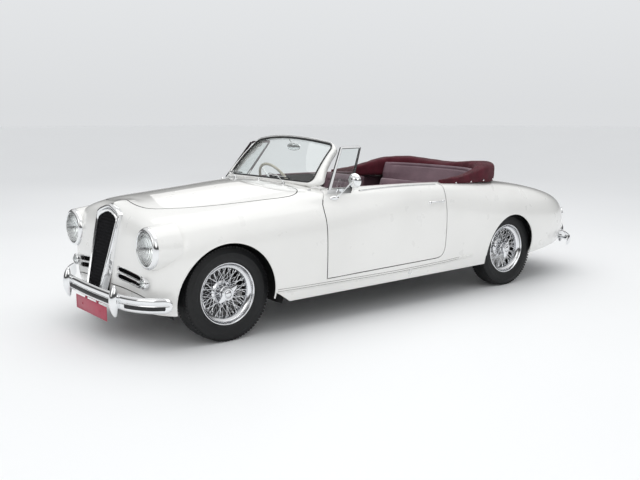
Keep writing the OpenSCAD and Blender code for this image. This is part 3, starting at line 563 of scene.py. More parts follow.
class Surface:
    """The left half of the body surface, searched for nearest points, and by rays."""

    def __init__(self, nu=300, nv=110):
        self.points, self.normals, self.faces = [], [], []
        for i in range(nu + 1):
            for j in range(nv + 1):
                p, n = body_at(U_END * i / nu, V_END * j / nv)
                self.points.append(p)
                self.normals.append(n)
        w = nv + 1
        for i in range(nu):
            for j in range(nv):
                a, b, c, d = i * w + j, i * w + j + 1, (i + 1) * w + j + 1, (i + 1) * w + j
                self.faces += [(a, b, c), (a, c, d)]
        self.tree = BVHTree.FromPolygons(self.points, self.faces)

    def normal_in(self, face, spot):
        ids = self.faces[face]
        n = barycentric_transform(spot, *(self.points[k] for k in ids), *(self.normals[k] for k in ids))
        middle = sum((self.normals[k] for k in ids), Vector())
        return n.normalized() if n.dot(middle) > 0 and n.length < 1.5 else middle.normalized()

    def nearest(self, p):
        side = -1 if p.y < 0 else 1
        spot, _, face, gap = self.tree.find_nearest(Vector((p.x, abs(p.y), p.z)))
        n = self.normal_in(face, spot)
        return Vector((spot.x, spot.y * side, spot.z)), Vector((n.x, n.y * side, n.z)), gap

    def ray(self, start, direction):
        spot, _, face, _ = self.tree.ray_cast(Vector(start), Vector(direction).normalized())
        if spot is None:
            spot, n, _ = self.nearest(Vector(start))
            return spot, n
        return spot, self.normal_in(face, spot)

    def side(self, x, z):
        return self.ray((x, 2.0, z), (0, -1, 0))

    def top(self, x, y):
        return self.ray((x, y, 3.0), (0, 0, -1))

    def front(self, y, z):
        return self.ray((4.0, y, z), (-1, 0, 0))

    def back(self, y, z):
        return self.ray((-4.0, y, z), (1, 0, 0))


BODY = Surface()


def lifted(pair, d):
    """Point a distance above the surface, from a (point, direction) pair."""
    return pair[0] + pair[1] * d


# ---------------------------------------------------------------- outlines, in millimetres as on the frame
BONNET = [(2106, 0), (2120, 110), (2126, 225), (2113, 330), (2058, 410), (1950, 486), (1822, 530),
          (1682, 560), (1533, 581), (1379, 601), (1225, 624), (1130, 630), (1070, 612), (1020, 560),
          (1003, 470), (1000, 300), (1000, 0)]
BOOT = [(-1352, 0), (-1352, 370), (-1362, 410), (-1395, 437), (-1600, 442), (-1900, 432), (-2150, 405),
        (-2300, 372), (-2375, 320), (-2402, 240), (-2411, 120), (-2413, 0)]
COCKPIT = [(800, 0), (800, 590), (760, 618), (400, 650), (-300, 664), (-700, 660), (-980, 625),
           (-1130, 560), (-1220, 440), (-1262, 250), (-1270, 0)]
DOOR = [(925, 350), (-205, 371), (-245, 377), (-275, 395), (-291, 425), (-297, 465), (-297, 1060),
        (800, 1060), (846, 985), (868, 955), (898, 915), (916, 880), (925, 835)]
COWL_TOP = [(780, -40), (1100, -40), (1100, 668), (780, 609)]
GRILLE = [(0, 618), (-70, 600), (-140, 578), (-178, 556), (-176, 530), (-148, 250), (-118, 6),
          (-112, 0), (112, 0), (118, 6), (148, 250), (176, 530), (178, 556), (140, 578), (70, 600)]
BOOT_LEAN, BOOT_LEVEL = 0.3, 0.935
# heights between which each outline in plan is cut; the boot's cut also leans about a level
BONNET_CUT, BOOT_CUT = (0.5, 1.4), (0.3, 1.2, BOOT_LEAN, BOOT_LEVEL)
COCKPIT_CUT, COWL_CUT = (0.3, 1.4), (0.7, 1.4)


def metres(outline):
    """Outline of millimetre pairs in metres."""
    return [(a / 1000, b / 1000) for a, b in outline]


def whole(half):
    """Half outline in plan joined to its mirror image."""
    return half + [(x, -y) for x, y in half[-2:0:-1]]


def smooth_whole(half, times=2):
    return rounded(metres(whole(half)), times)


# ---------------------------------------------------------------- solids used for cutting
def cutter(bm):
    outward(bm)
    return linked("cutter", mesh_from("cutter", bm))


def plan_cutter(outline, lo=-1.0, hi=3.0, lean=0.0, level=0.0):
    bm = bmesh.new()
    prism(bm, [(x + lean * (level - lo), y, lo) for x, y in outline], (-lean * (hi - lo), 0, hi - lo))
    return cutter(bm)


def side_cutter(outline, lo=-1.3, hi=1.3):
    bm = bmesh.new()
    prism(bm, [(x, lo, z) for x, z in outline], (0, hi - lo, 0))
    return cutter(bm)


def rod_cutter(point, direction, radius, length, steps=96):
    bm = bmesh.new()
    lathe(bm, [(0, 0), (radius, 0), (radius, length), (0, length)], facing(point, direction), steps)
    return cutter(bm)


def body_sheet(u0=0, u1=U_END, v0=0, v1=V_END, nu=230, nv=80, depth=0.0):
    """Left half of the surface as a mesh object, between two stations and two lines."""
    bm = bmesh.new()

    def bend(s, t):
        p, n = body_at(u0 + (u1 - u0) * s, v0 + (v1 - v0) * t)
        return p - n * depth
    patch(bm, bend, nu, nv)
    probe = bm.faces[:][len(bm.faces) // 2]
    if probe.normal.dot(BODY.nearest(probe.calc_center_median())[1]) < 0:
        bmesh.ops.reverse_faces(bm, faces=bm.faces)
    return linked("sheet", mesh_from("sheet", bm))


def boolean(ob, kind, tool):
    m = ob.modifiers.new("cut", "BOOLEAN")
    m.operation = kind
    m.solver = "MANIFOLD"
    m.object = tool


def carve(ob, thick, cutters, keeps=(), mirror=False):
    """Gives a sheet its thickness, cuts it, and returns the finished mesh."""
    if mirror:
        m = ob.modifiers.new("mirror", "MIRROR")
        m.use_axis = (False, True, False)
        m.merge_threshold = 1e-4
    m = ob.modifiers.new("wall", "SOLIDIFY")
    m.thickness = thick
    m.offset = -1
    m.use_even_offset = False
    for kind, tools in (("INTERSECT", keeps), ("DIFFERENCE", cutters)):
        for tool in tools:
            tool.hide_render = True
            boolean(ob, kind, tool)
    bpy.context.view_layer.update()
    mesh = evaluated(ob)
    bpy.data.objects.remove(ob)
    return mesh


def scrap(*tools):
    """Removes cutters that have done their work."""
    for t in tools:
        bpy.data.objects.remove(t)


def true_normals(mesh):
    """Corners on the outer and inner faces take the direction of the smooth body surface."""
    looked = [BODY.nearest(v.co) for v in mesh.vertices]
    out = []
    for poly in mesh.polygons:
        outer = max(looked[k][2] for k in poly.vertices) < 2e-3
        rim = not outer
        for k in poly.vertices:
            n = looked[k][1]
            towards = poly.normal.dot(n)
            rim = rim and abs(towards) < 0.5
            out.append(n if outer else -n if towards < -0.8 else poly.normal)
        # cut edge faces of the lids and doors take their second material, dark rubber: partly a rubber seal,
        # partly painted shade that keeps the shut lines dark
        if rim and len(mesh.materials) > 1:
            poly.material_index = 1
    mesh.polygons.foreach_set("use_smooth", [True] * len(mesh.polygons))
    mesh.normals_split_custom_set(out)


def panel(name, mesh, body, finishes, replaces=()):
    mesh.name = name
    ob = dress(name, mesh, body, finishes, replaces, sharp=0)
    true_normals(mesh)
    return ob


def arch_cutter(centre_x, radius):
    return rod_cutter((centre_x, -1.3, FRONT_AXLE.z), (0, 1, 0), radius, 2.6)


def join_meshes(meshes, name):
    bm = bmesh.new()
    for m in meshes:
        bm.from_mesh(m)
    return mesh_from(name, bm)


# ---------------------------------------------------------------- body panels
LAMP_SPOT = Vector((2.240, 0.600, 0.685))
PARK_SPOT = Vector((2.252, 0.560, 0.450))
TAIL_SPOT = Vector((-2.150, 0.560, 0.560))
TAIL_TURN = math.radians(142)
GRILLE_TILT = math.radians(14.1)
GRILLE_SPOT = Vector((2.362, 0, 0.322))
SLOTS = [[(0.208, 0.498), (0.350, 0.486), (0.508, 0.471)], [(0.210, 0.451), (0.350, 0.439), (0.502, 0.424)]]
SLOT_TALL = 0.037


def grille_matrix(depth=0.0):
    """Local X across, Y up the grille, Z forwards out of it."""
    turn = Matrix(((0, math.sin(-GRILLE_TILT), math.cos(GRILLE_TILT)), (1, 0, 0),
                   (0, math.cos(GRILLE_TILT), math.sin(GRILLE_TILT)))).to_4x4()
    return Matrix.Translation(GRILLE_SPOT) @ turn @ Matrix.Translation((0, 0, depth))


def grille_cutter():
    bm = bmesh.new()
    prism(bm, [(x, y, -0.25) for x, y in grown(metres(GRILLE), -0.010)], (0, 0, 0.35))
    bmesh.ops.transform(bm, matrix=grille_matrix(), verts=bm.verts)
    return cutter(bm)


def slot_cutters():
    """Air slots either side of the grille, rounded at both ends."""
    out = []
    for side in (1, -1):
        for line in SLOTS:
            mid = curve_through([(0, y, z) for y, z in line], 6)
            half = SLOT_TALL / 2
            bulge = [(half * math.sin(a), half * math.cos(a)) for a in (0.8, 1.57, 2.34)]
            ring = [(p.y, p.z + half) for p in mid]
            ring += [(mid[-1].y + y, mid[-1].z + z) for y, z in bulge]
            ring += [(p.y, p.z - half) for p in reversed(mid)]
            ring += [(mid[0].y - y, mid[0].z - z) for y, z in bulge]
            bm = bmesh.new()
            prism(bm, [(2.0, side * y, z) for y, z in ring], (0.5, 0, 0))
            out.append(cutter(bm))
    return out


def tail_direction(side=1):
    return Vector((math.cos(TAIL_TURN), side * math.sin(TAIL_TURN), 0))


def body_shell():
    """Every fixed outer panel in one skin, as on a coachbuilt body with leaded seams."""
    tools = [plan_cutter(grown(smooth_whole(BONNET), GAP / 2), *BONNET_CUT),
             plan_cutter(grown(smooth_whole(BOOT), GAP / 2), *BOOT_CUT),
             plan_cutter(smooth_whole(COCKPIT), *COCKPIT_CUT), arch_cutter(FRONT_ARCH_X, FRONT_ARCH_R),
             arch_cutter(REAR_ARCH_X, REAR_ARCH_R), grille_cutter()]
    tools.append(side_cutter(metres([(1480, 232), (1480, 120), (2700, 120), (2700, 232)])))
    tools.append(side_cutter(metres([(1400, 322), (1255, 228), (1380, 100), (1500, 100), (1500, 322)])))
    for side in (1, -1):
        tools.append(rod_cutter((2.05, side * LAMP_SPOT.y, LAMP_SPOT.z), (1, 0, 0), LAMP_R - 0.012, 0.5))
        tools.append(rod_cutter((2.15, side * PARK_SPOT.y, PARK_SPOT.z), (1, 0, 0), 0.034, 0.3, 48))
        spot = Vector((TAIL_SPOT.x, side * TAIL_SPOT.y, TAIL_SPOT.z))
        tools.append(rod_cutter(spot - tail_direction(side) * 0.08, tail_direction(side), 0.050, 0.3, 48))
        # round a door, but not the top of the cowl
        reach = (0.30, 1.3) if side > 0 else (-1.3, -0.30)
        door = side_cutter(grown(metres(DOOR), GAP), *reach)
        corner = plan_cutter(grown([(x, side * y) for x, y in metres(COWL_TOP)], -GAP), *COWL_CUT)
        boolean(door, "DIFFERENCE", corner)
        bpy.context.view_layer.update()
        cut = evaluated(door)
        door.modifiers.clear()
        door.data = cut
        scrap(corner)
        tools.append(door)
    tools += slot_cutters()
    mesh = carve(body_sheet(), SKIN, tools, mirror=True)
    scrap(*tools)
    return panel("body_shell", mesh, "body", IVORY,
                 ("fender_left", "fender_right", "cowl", "quarter_left", "quarter_right", "tail_panel"))


def lids():
    """Bonnet and boot lid, each cut from its own stretch of the surface."""
    for name, body, outline, span, stretch in (
            ("bonnet_panel", "bonnet", BONNET, BONNET_CUT, (0.6, 10, 4, V_END, 150, 60)),
            ("boot_panel", "boot_lid", BOOT, BOOT_CUT, (12, U_END, 3, V_END, 110, 60))):
        keep = plan_cutter(grown(smooth_whole(outline), -GAP / 2), *span)
        mesh = carve(body_sheet(*stretch), SKIN, (), [keep], mirror=True)
        scrap(keep)
        panel(name, mesh, body, [IVORY, RUBBER], (body,))


def seams():
    """Dark pipes under the shut lines of both lids and behind the doors' rear and lower edges: painted shadow
    that keeps the gaps dark.
    """
    bm = bmesh.new()
    for outline, lean in ((BONNET, 0.0), (BOOT, BOOT_LEAN)):
        line = []
        for x, y in smooth_whole(outline):
            spot, n = BODY.ray((x + lean * (BOOT_LEVEL - 3.0), abs(y), 3.0), (lean, 0, -1))
            spot = spot - n * 0.021
            line.append((spot.x, math.copysign(spot.y, y), spot.z))
        pipe(bm, line, 0.0075, cyclic=True)
    edge = [(885, 346), (500, 356), (100, 362), (-205, 367), (-248, 373), (-279, 392), (-296, 425),
            (-302, 465), (-302, 620), (-302, 780), (-302, 890)]
    for s in (1, -1):
        pts = [lifted(BODY.side(x, z), -0.030) for x, z in metres(edge)]
        pipe(bm, curve_through([(p.x, s * p.y, p.z) for p in pts]), 0.007)
    piece("shut_line_shade", bm, "body", SHADOW)


def mirror_mesh(mesh):
    bm = bmesh.new()
    bm.from_mesh(mesh)
    flip(bm)
    return mesh_from(mesh.name, bm)


def doors():
    """Outer skin to the shut lines, and a thinner-edged inner box behind it."""
    slot = [(560, 706), (-250, 722), (-250, 728), (560, 712)]
    tools = [plan_cutter(smooth_whole(COCKPIT), *COCKPIT_CUT), plan_cutter(metres(COWL_TOP), *COWL_CUT),
             plan_cutter(metres(slot), *COWL_CUT)]
    keep = side_cutter(metres(DOOR), 0.3, 1.3)
    skin = carve(body_sheet(8.4, 11.4, 0.8, 8.6, 110, 96), 0.020, tools, [keep])
    scrap(keep)
    keep = side_cutter(grown(metres(DOOR), -0.015), 0.3, 1.3)
    core = carve(body_sheet(8.4, 11.4, 0.8, 8.6, 80, 70, 0.020), DOOR_THICK - 0.020, tools, [keep])
    scrap(keep, *tools)
    left = join_meshes([skin, core], "door_left_panel")
    right = mirror_mesh(left)
    for side, mesh in (("left", left), ("right", right)):
        panel(f"door_{side}_panel", mesh, f"door_{side}", [IVORY, RUBBER], (f"door_{side}",))


def arch_line(centre_x, radius, start, end, n=60):
    """Points where a wheel opening meets the body surface, from one angle to another, in degrees."""
    out = []
    for i in range(n + 1):
        a = math.radians(start + (end - start) * i / n)
        x, z = centre_x + radius * math.cos(a), FRONT_AXLE.z + radius * math.sin(a)
        out.append(lifted(BODY.side(x, z), -0.004))
    return out


def body_trim():
    """Rolled arch edges and the raised moulding along each sill, painted with the body."""
    bm = bmesh.new()
    pipe(bm, arch_line(FRONT_ARCH_X, FRONT_ARCH_R - 0.002, -14, 190), 0.006)
    pipe(bm, arch_line(REAR_ARCH_X, REAR_ARCH_R - 0.002, -2, 184), 0.006)
    crease = metres([(1372, 322), (1200, 318), (925, 315), (600, 313), (189, 314), (-260, 326),
                     (-480, 339), (-640, 352)])
    for drop, size, out in ((0, 0.0055, 0.001), (-0.020, 0.004, 0.0)):
        pipe(bm, curve_through([lifted(BODY.side(x, z + drop), out) for x, z in crease]), size)
    mirrored(bm)
    piece("body_beads", bm, "body", IVORY)
    # thin dark lines along both edges of each sill moulding: painted shade in its creases
    bm = bmesh.new()
    for drop in (0.0068, -0.0085):
        pipe(bm, curve_through([lifted(BODY.side(x, z + drop), 0.0002) for x, z in crease[:-1]]), 0.0011)
    mirrored(bm)
    piece("bead_shade_lines", bm, "body", CHASSIS_AND_CREASE_SHADE)

    # dark seam between the nose and the apron behind the bumper
    bm = bmesh.new()
    seam = [(0.135, 0.384), (0.25, 0.378), (0.36, 0.370), (0.47, 0.360), (0.56, 0.346)]
    pipe(bm, curve_through([lifted(BODY.front(y, z), -0.001) for y, z in seam], 6), 0.0035)
    mirrored(bm)
    piece("apron_seam", bm, "body", RUBBER)

    # jack socket ring low on each sill
    bm = bmesh.new()
    spot, n = BODY.side(0.067, 0.290)
    lathe(bm, [(0.016, -0.004), (0.016, 0.003), (0.021, 0.004), (0.024, 0.001), (0.024, -0.004)],
          facing(spot, n), 32, closed=True)
    mirrored(bm)
    piece("jack_rings", bm, "body", CHROME)


def slot_trim():
    """Chrome frame round each air slot, with a dark plate behind it as painted shade inside the slot."""
    bm = bmesh.new()
    for line in SLOTS:
        half = SLOT_TALL / 2
        top = [(y, z + half) for y, z in line]
        low = [(y, z - half) for y, z in reversed(line)]
        ring = rounded(top + low)
        pipe(bm, [lifted(BODY.front(y, z), 0.001) for y, z in ring], 0.0035, cyclic=True)
    mirrored(bm)
    piece("slot_frames", bm, "body", CHROME)
    bm = bmesh.new()
    for line in SLOTS:
        def well(s, t, line=line):
            y0, z0 = line[0]
            y1, z1 = line[-1]
            y, z = y0 + (y1 - y0) * s, z0 + (z1 - z0) * s + (t - 0.5) * 0.05
            return lifted(BODY.front(y, z), -0.030)
        patch(bm, well, 16, 4)
    mirrored(bm)
    piece("slot_shade_plates", bm, "body", SHADOW)


def wheelhouses():
    """Dark inner panels round each wheel, each running from its inner wall out to the body's skin."""
    bm = bmesh.new()
    clear, inner = 0.016, 0.25
    for axle, r, y0, lo, hi in ((FRONT_AXLE, TYRE_R + 0.090, 0.370, -16, 196),
                                (REAR_AXLE, TYRE_R + 0.034, 0.532, -8, 188)):
        def shell(s, t):
            a = math.radians(lo + (hi - lo) * s)
            px, pz = axle.x + r * math.cos(a), axle.z + r * math.sin(a)
            if t < inner:
                reach = r * t / inner
                return Vector((axle.x + reach * math.cos(a), y0, axle.z + reach * math.sin(a)))
            wall = BODY.side(px, max(pz, 0.25))[0].y - clear
            out = y0 + (max(wall, y0 + 0.02) - y0) * (t - inner) / (1 - inner)
            return Vector((px, out, min(pz, BODY.top(px, out)[0].z - clear)))
        patch(bm, shell, 72, 20)
    bmesh.ops.solidify(bm, geom=bm.faces[:], thickness=0.003)
    mirrored(bm)
    outward(bm)
    piece("wheelhouses", bm, "body", UNDERSEAL)


# ---------------------------------------------------------------- wheels
BLOCKS = 84


def tyre_mesh():
    """Tyre about the Y axis with ribs, zigzag grooves and sidewall rings; outer side along +Y."""
    w, r = TYRE_W / 2, RIM_R
    half = [(r - 0.014, RIM_W / 2 - 0.010), (r + 0.001, RIM_W / 2 - 0.004), (r + 0.004, RIM_W / 2 + 0.001),
            (r + 0.012, w * 0.90), (r + 0.020, w * 0.945), (r + 0.023, w * 0.95), (r + 0.025, w * 0.965),
            (r + 0.040, w * 0.992), (r + 0.052, w), (r + 0.064, w * 0.992), (r + 0.066, w * 0.999),
            (r + 0.069, w * 0.996), (r + 0.071, w * 0.978), (r + 0.084, w * 0.93), (r + 0.094, w * 0.88),
            (r + 0.100, w * 0.845), (r + 0.104, w * 0.80), (r + 0.108, w * 0.765)]
    ribs = [(0.71, 0.60), (0.54, 0.38), (0.32, 0.14), (0.10, -0.10)]
    for a, b in ribs:
        for y, dip in ((a, 0.0), (b, 0.0), (b - 0.015, 0.007), (b - 0.045, 0.007)):
            if y > -0.101:
                half.append((TYRE_R - 0.0035 * (abs(y) / 0.75) ** 2 - dip, y * w))
    full = half + [(a, -b) for a, b in reversed(half)]
    full += [(r - 0.014, side * (RIM_W / 2 - 0.020)) for side in (-1, 1)]
    bm = bmesh.new()
    lathe(bm, full, facing((0, 0, 0), (0, 1, 0)), 2 * BLOCKS, closed=True)
    step = TAU / BLOCKS
    for v in bm.verts:
        reach = math.hypot(v.co.x, v.co.z)
        if reach > TYRE_R - 0.012 and abs(v.co.y) < w * 0.72:
            k = round(math.atan2(v.co.z, v.co.x) / (step / 2))
            v.co.y += 0.0022 * (1 if k % 4 in (0, 1) else -1)
    # small cross blocks on both shoulders
    for side in (1, -1):
        for k in range(BLOCKS):
            spot = Matrix.Translation((TYRE_R - 0.0085, side * w * 0.80, 0))
            block = Matrix.Rotation(k * step, 4, "Y") @ spot @ Matrix.Diagonal((0.010, 0.012, 0.014, 1))
            bmesh.ops.create_cube(bm, size=1, matrix=block)
    return bm


def ear_outline():
    """Two-eared knock-off nut seen from outside."""
    ring = []
    for k in range(40):
        a = TAU * k / 40
        pull = max(0.0, abs(math.cos(a)) - 0.86) / 0.14
        reach = 0.046 + 0.044 * pull ** 1.6
        ring.append((reach * math.cos(a), reach * math.sin(a) * (1 - 0.25 * pull)))
    return ring


def wheel_mesh(turn):
    """Wire wheel about the Y axis with crossed spokes; turn is the angle of the nut's ears."""
    bm = bmesh.new()
    along_y = facing((0, 0, 0), (0, 1, 0))
    r, f = RIM_R, RIM_W / 2
    lip = [(r - 0.0005, f - 0.0055), (r, f - 0.002), (r - 0.002, f), (r - 0.006, f), (r - 0.009, f - 0.003),
           (r - 0.0105, f - 0.008), (r - 0.014, f - 0.012), (r - 0.016, f - 0.015), (r - 0.018, f - 0.022),
           (r - 0.026, f - 0.028), (r - 0.038, f - 0.033), (r - 0.043, f - 0.044), (r - 0.044, f - 0.060)]
    inner = lip + [(a, -b) for a, b in reversed(lip)]
    back = [(a + 0.004, b * 0.93) for a, b in reversed(inner)]
    lathe(bm, inner + back[1:-1], along_y, 120, closed=True)
    # hub shell, waisted, with a flange at the back and a smaller one in front
    lathe(bm, [(0.0185, -0.040), (0.070, -0.040), (0.079, -0.034), (0.080, -0.028), (0.078, -0.022),
               (0.064, -0.016), (0.054, 0.000), (0.049, 0.018), (0.050, 0.030), (0.053, 0.036),
               (0.052, 0.041), (0.046, 0.046), (0.0185, 0.046)], along_y, 72, closed=True)
    # knock-off nut: domed centre, stepped ring and two ears
    lathe(bm, [(0.0, 0.0795), (0.010, 0.079), (0.019, 0.0765), (0.024, 0.072), (0.025, 0.068),
               (0.0275, 0.067), (0.031, 0.0685), (0.038, 0.0675), (0.044, 0.064), (0.047, 0.058),
               (0.0475, 0.048), (0.046, 0.044), (0.0, 0.044)], along_y, 72)
    ears = connected(prism(bm, [(x, 0, z) for x, z in ear_outline()], (0, 0.011, 0)))
    bmesh.ops.translate(bm, vec=(0, 0.055, 0), verts=ears)
    bmesh.ops.rotate(bm, cent=(0, 0, 0), matrix=Matrix.Rotation(turn, 3, "Y"), verts=ears)
    round_edges(bm, list({e for v in ears for e in v.link_edges}), 0.0022, 2)
    clean(bm)
    # spokes: each row leaves the hub almost along a tangent and crosses its neighbours
    rows = [(24, 0.0765, -0.030, RIM_R - 0.046, 0.012, 21), (24, 0.0765, -0.024, RIM_R - 0.046, -0.002, -21),
            (12, 0.051, 0.034, RIM_R - 0.044, 0.030, 30), (12, 0.051, 0.038, RIM_R - 0.044, 0.022, -30)]
    for count, r0, y0, r1, y1, sweep in rows:
        for k in range(count):
            a = TAU * (k + (0.5 if sweep < 0 else 0)) / count
            b = a + math.radians(sweep)
            p = Vector((r0 * math.cos(a), y0, r0 * math.sin(a)))
            q = Vector((r1 * math.cos(b), y1, r1 * math.sin(b)))
            rod(bm, p, q, 0.0021, 6)
            rod(bm, q - (q - p).normalized() * 0.014, q, 0.0036, 6)
    return bm


def rod(bm, p, q, radius, sides):
    """Straight round bar between two points."""
    d = q - p
    spot = Matrix.Translation((p + q) / 2) @ d.to_track_quat("Z", "Y").to_matrix().to_4x4()
    bmesh.ops.create_cone(bm, cap_ends=True, segments=sides, radius1=radius, radius2=radius,
                          depth=d.length, matrix=spot)


def wheels():
    ears = {"front_left": 37, "rear_left": 78, "front_right": 20, "rear_right": 55}
    for end, axle, track in (("front", FRONT_AXLE, FRONT_TRACK), ("rear", REAR_AXLE, REAR_TRACK)):
        for side, s in SIDES:
            corner = f"{end}_{side}"
            place = Matrix.Translation((axle.x, s * track / 2, axle.z))
            for part, bm, slot, finish in (
                    ("tyre", tyre_mesh(), "tyre", TYRE),
                    ("wheel", wheel_mesh(math.radians(ears[corner])), "wheel_chrome", RIM_CHROME)):
                if s < 0:
                    flip(bm)
                bmesh.ops.transform(bm, matrix=place, verts=bm.verts)
                piece(f"{part}_{corner}_detail", bm, f"wheel_{corner}", finish,
                      (f"{part}_{corner}",), sharp=40)


# ---------------------------------------------------------------- grille, lamps and bumpers
GRILLE_HOLE = [(0, 556), (-55, 547), (-110, 529), (-149, 507), (-152, 482), (-127, 250), (-100, 22),
               (-92, 12), (92, 12), (100, 22), (127, 250), (152, 482), (149, 507), (110, 529), (55, 547)]
WIRE_LEAN, WIRE_PITCH, WIRE_R = 22, 0.0165, 0.0014


def grille():
    """Chrome shell with a raised inner moulding, and a dark wire mesh set back in it."""
    outer, inner = [np.array(metres(o)) for o in (GRILLE, GRILLE_HOLE)]
    rings = [(0.0, -0.030), (0.0, 0.004), (0.04, 0.014), (0.16, 0.022), (0.36, 0.024), (0.50, 0.018),
             (0.55, 0.010), (0.60, 0.010), (0.66, 0.020), (0.78, 0.026), (0.90, 0.023), (1.0, 0.012),
             (1.0, -0.014)]
    bm = bmesh.new()

    def moulding(s, t):
        k, h = rings[round(s * (len(rings) - 1))]
        i = round(t * len(outer)) % len(outer)
        x, y = outer[i] + (inner[i] - outer[i]) * k
        return Vector((x, y, h))
    patch(bm, moulding, len(rings) - 1, len(outer), closed=True)
    outward(bm)
    bmesh.ops.transform(bm, matrix=grille_matrix(), verts=bm.verts)
    piece("grille_shell", bm, "body", CHROME, ("grille",), sharp=50)

    # dark sheet behind the wire mesh: painted shade in place of the dark space inside the grille
    bm = bmesh.new()
    outline_face(bm, [(x, y, -0.012) for x, y in grown(metres(GRILLE_HOLE), 0.004)])
    bmesh.ops.transform(bm, matrix=grille_matrix(), verts=bm.verts)
    outward(bm)
    piece("grille_shade_backing", bm, "body", SHADOW)

    # crossing wires, clipped to the opening
    bm = bmesh.new()
    hole = metres(GRILLE_HOLE)
    for lean in (1, -1):
        slope = math.radians(90 - WIRE_LEAN * lean)
        d = Vector((math.cos(slope), math.sin(slope), 0))
        side = Vector((-d.y, d.x, 0))
        for k in range(-40, 41):
            start = Vector((0, 0.28, 0)) + side * (k * WIRE_PITCH)
            span = clip_line(start, d, hole)
            if span:
                a, b = (start + d * t for t in span)
                a.z = b.z = -0.002 if lean > 0 else 0.0005
                rod(bm, a, b, WIRE_R, 4)
    bmesh.ops.transform(bm, matrix=grille_matrix(), verts=bm.verts)
    piece("grille_mesh", bm, "body", GUNMETAL)


def clip_line(start, d, outline):
    """Stretch of a line inside a convex outline, as two distances along it, or None."""
    lo, hi = -2.0, 2.0
    pts = [Vector((x, y, 0)) for x, y in outline]
    area = sum(a.x * b.y - b.x * a.y for a, b in zip(pts, pts[1:] + pts[:1]))
    sign = 1 if area > 0 else -1
    for a, b in zip(pts, pts[1:] + pts[:1]):
        e = b - a
        n = Vector((-e.y, e.x, 0)) * sign
        rate, gap = n.dot(d), n.dot(start - a)
        if abs(rate) < 1e-12:
            if gap < 0:
                return None
        elif rate > 0:
            lo = max(lo, -gap / rate)
        else:
            hi = min(hi, -gap / rate)
    return (lo, hi) if hi - lo > 0.004 else None


def round_lamps():
    """Headlamps with a deep domed rim, fluted glass, reflector and bulb; parking lamps and tail lamps."""
    rim, glass, bowl = bmesh.new(), bmesh.new(), bmesh.new()
    r = LAMP_R
    at = facing(LAMP_SPOT, (1, 0, 0))
    lathe(rim, [(r - 0.006, -0.060), (r - 0.002, -0.010), (r, 0.004), (r, 0.012), (r - 0.003, 0.021),
                (r - 0.010, 0.029), (r - 0.018, 0.034), (r - 0.023, 0.0345), (r - 0.026, 0.031),
                (r - 0.0265, 0.020), (r - 0.030, 0.010), (r - 0.030, -0.060)], at, 96, closed=True)
    lathe(glass, [(r - 0.027, 0.024), (r - 0.036, 0.034), (r - 0.060, 0.048), (r - 0.090, 0.057),
                  (r - 0.120, 0.061), (0, 0.0615)] + [(0, 0.0575), (r - 0.120, 0.057), (r - 0.090, 0.053),
                  (r - 0.060, 0.044), (r - 0.038, 0.030), (r - 0.030, 0.020)], at, 96, closed=True)
    lathe(bowl, [(r - 0.029, 0.018), (r - 0.045, -0.020), (r - 0.080, -0.055), (r - 0.115, -0.075),
                 (0.012, -0.080), (0.012, -0.050), (0.010, -0.030), (0.0, -0.026)], at, 72)
    at = facing(PARK_SPOT, (1, 0, 0))
    lathe(rim, [(0.033, -0.030), (0.034, 0.012), (0.041, 0.015), (0.042, 0.019), (0.038, 0.025),
                (0.033, 0.027), (0.031, 0.024), (0.031, -0.030)], at, 48, closed=True)
    lathe(glass, [(0.0315, 0.022), (0.026, 0.031), (0.016, 0.038), (0, 0.0405), (0, 0.038), (0.015, 0.0355),
                  (0.024, 0.029), (0.029, 0.020)], at, 48, closed=True)
    lathe(bowl, [(0.0305, 0.016), (0.020, -0.010), (0.0, -0.020)], at, 36)
    for bm in (rim, glass, bowl):
        mirrored(bm)
    piece("front_lamp_rims", rim, "body", CHROME,
          ("headlamp_left", "headlamp_right", "parking_lamps"))
    piece("front_lamp_glasses", glass, "body", LENS)
    piece("front_lamp_bowls", bowl, "body", REFLECTOR)

    # painted ring that carries each headlamp out from the fender
    pod = bmesh.new()
    lathe(pod, [(r - 0.008, -0.16), (r + 0.022, -0.16), (r + 0.012, -0.08), (r + 0.004, -0.020),
                (r + 0.001, 0.002), (r - 0.004, 0.003), (r - 0.008, -0.010)],
          facing(LAMP_SPOT, (1, 0, 0)), 96, closed=True)
    mirrored(pod)
    piece("headlamp_pods", pod, "body", IVORY)

    bezel, lens = bmesh.new(), bmesh.new()
    at = facing(TAIL_SPOT, tail_direction())
    lathe(bezel, [(0.048, -0.025), (0.050, 0.018), (0.0555, 0.021), (0.056, 0.027), (0.052, 0.033),
                  (0.047, 0.034), (0.045, 0.030), (0.045, -0.025)], at, 64, closed=True)
    lathe(lens, [(0.0, -0.02), (0.046, -0.02), (0.0455, 0.028), (0.038, 0.0345), (0.030, 0.0375),
                 (0.028, 0.0368), (0.026, 0.0385), (0.012, 0.0405), (0, 0.041)], at, 64)
    mirrored(bezel)
    mirrored(lens)
    piece("tail_lamp_rims", bezel, "body", CHROME)
    piece("tail_lamp_lenses", lens, "body", RED_LENS, ("tail_lamps",))


FRONT_LINE = [(2404, 0, 322), (2400, 200, 322), (2388, 400, 322), (2350, 560, 324), (2290, 680, 328),
              (2232, 748, 333), (2182, 788, 336)]
REAR_LINE = [(-2410, 0, 318), (-2404, 200, 318), (-2380, 390, 318), (-2318, 535, 318), (-2215, 650, 318),
             (-2120, 730, 320), (-1990, 790, 322)]


def bumper_line(half):
    left = [(x / 1000, y / 1000, z / 1000) for x, y, z in half]
    return curve_through([(x, -y, z) for x, y, z in reversed(left[1:])] + left, 10)


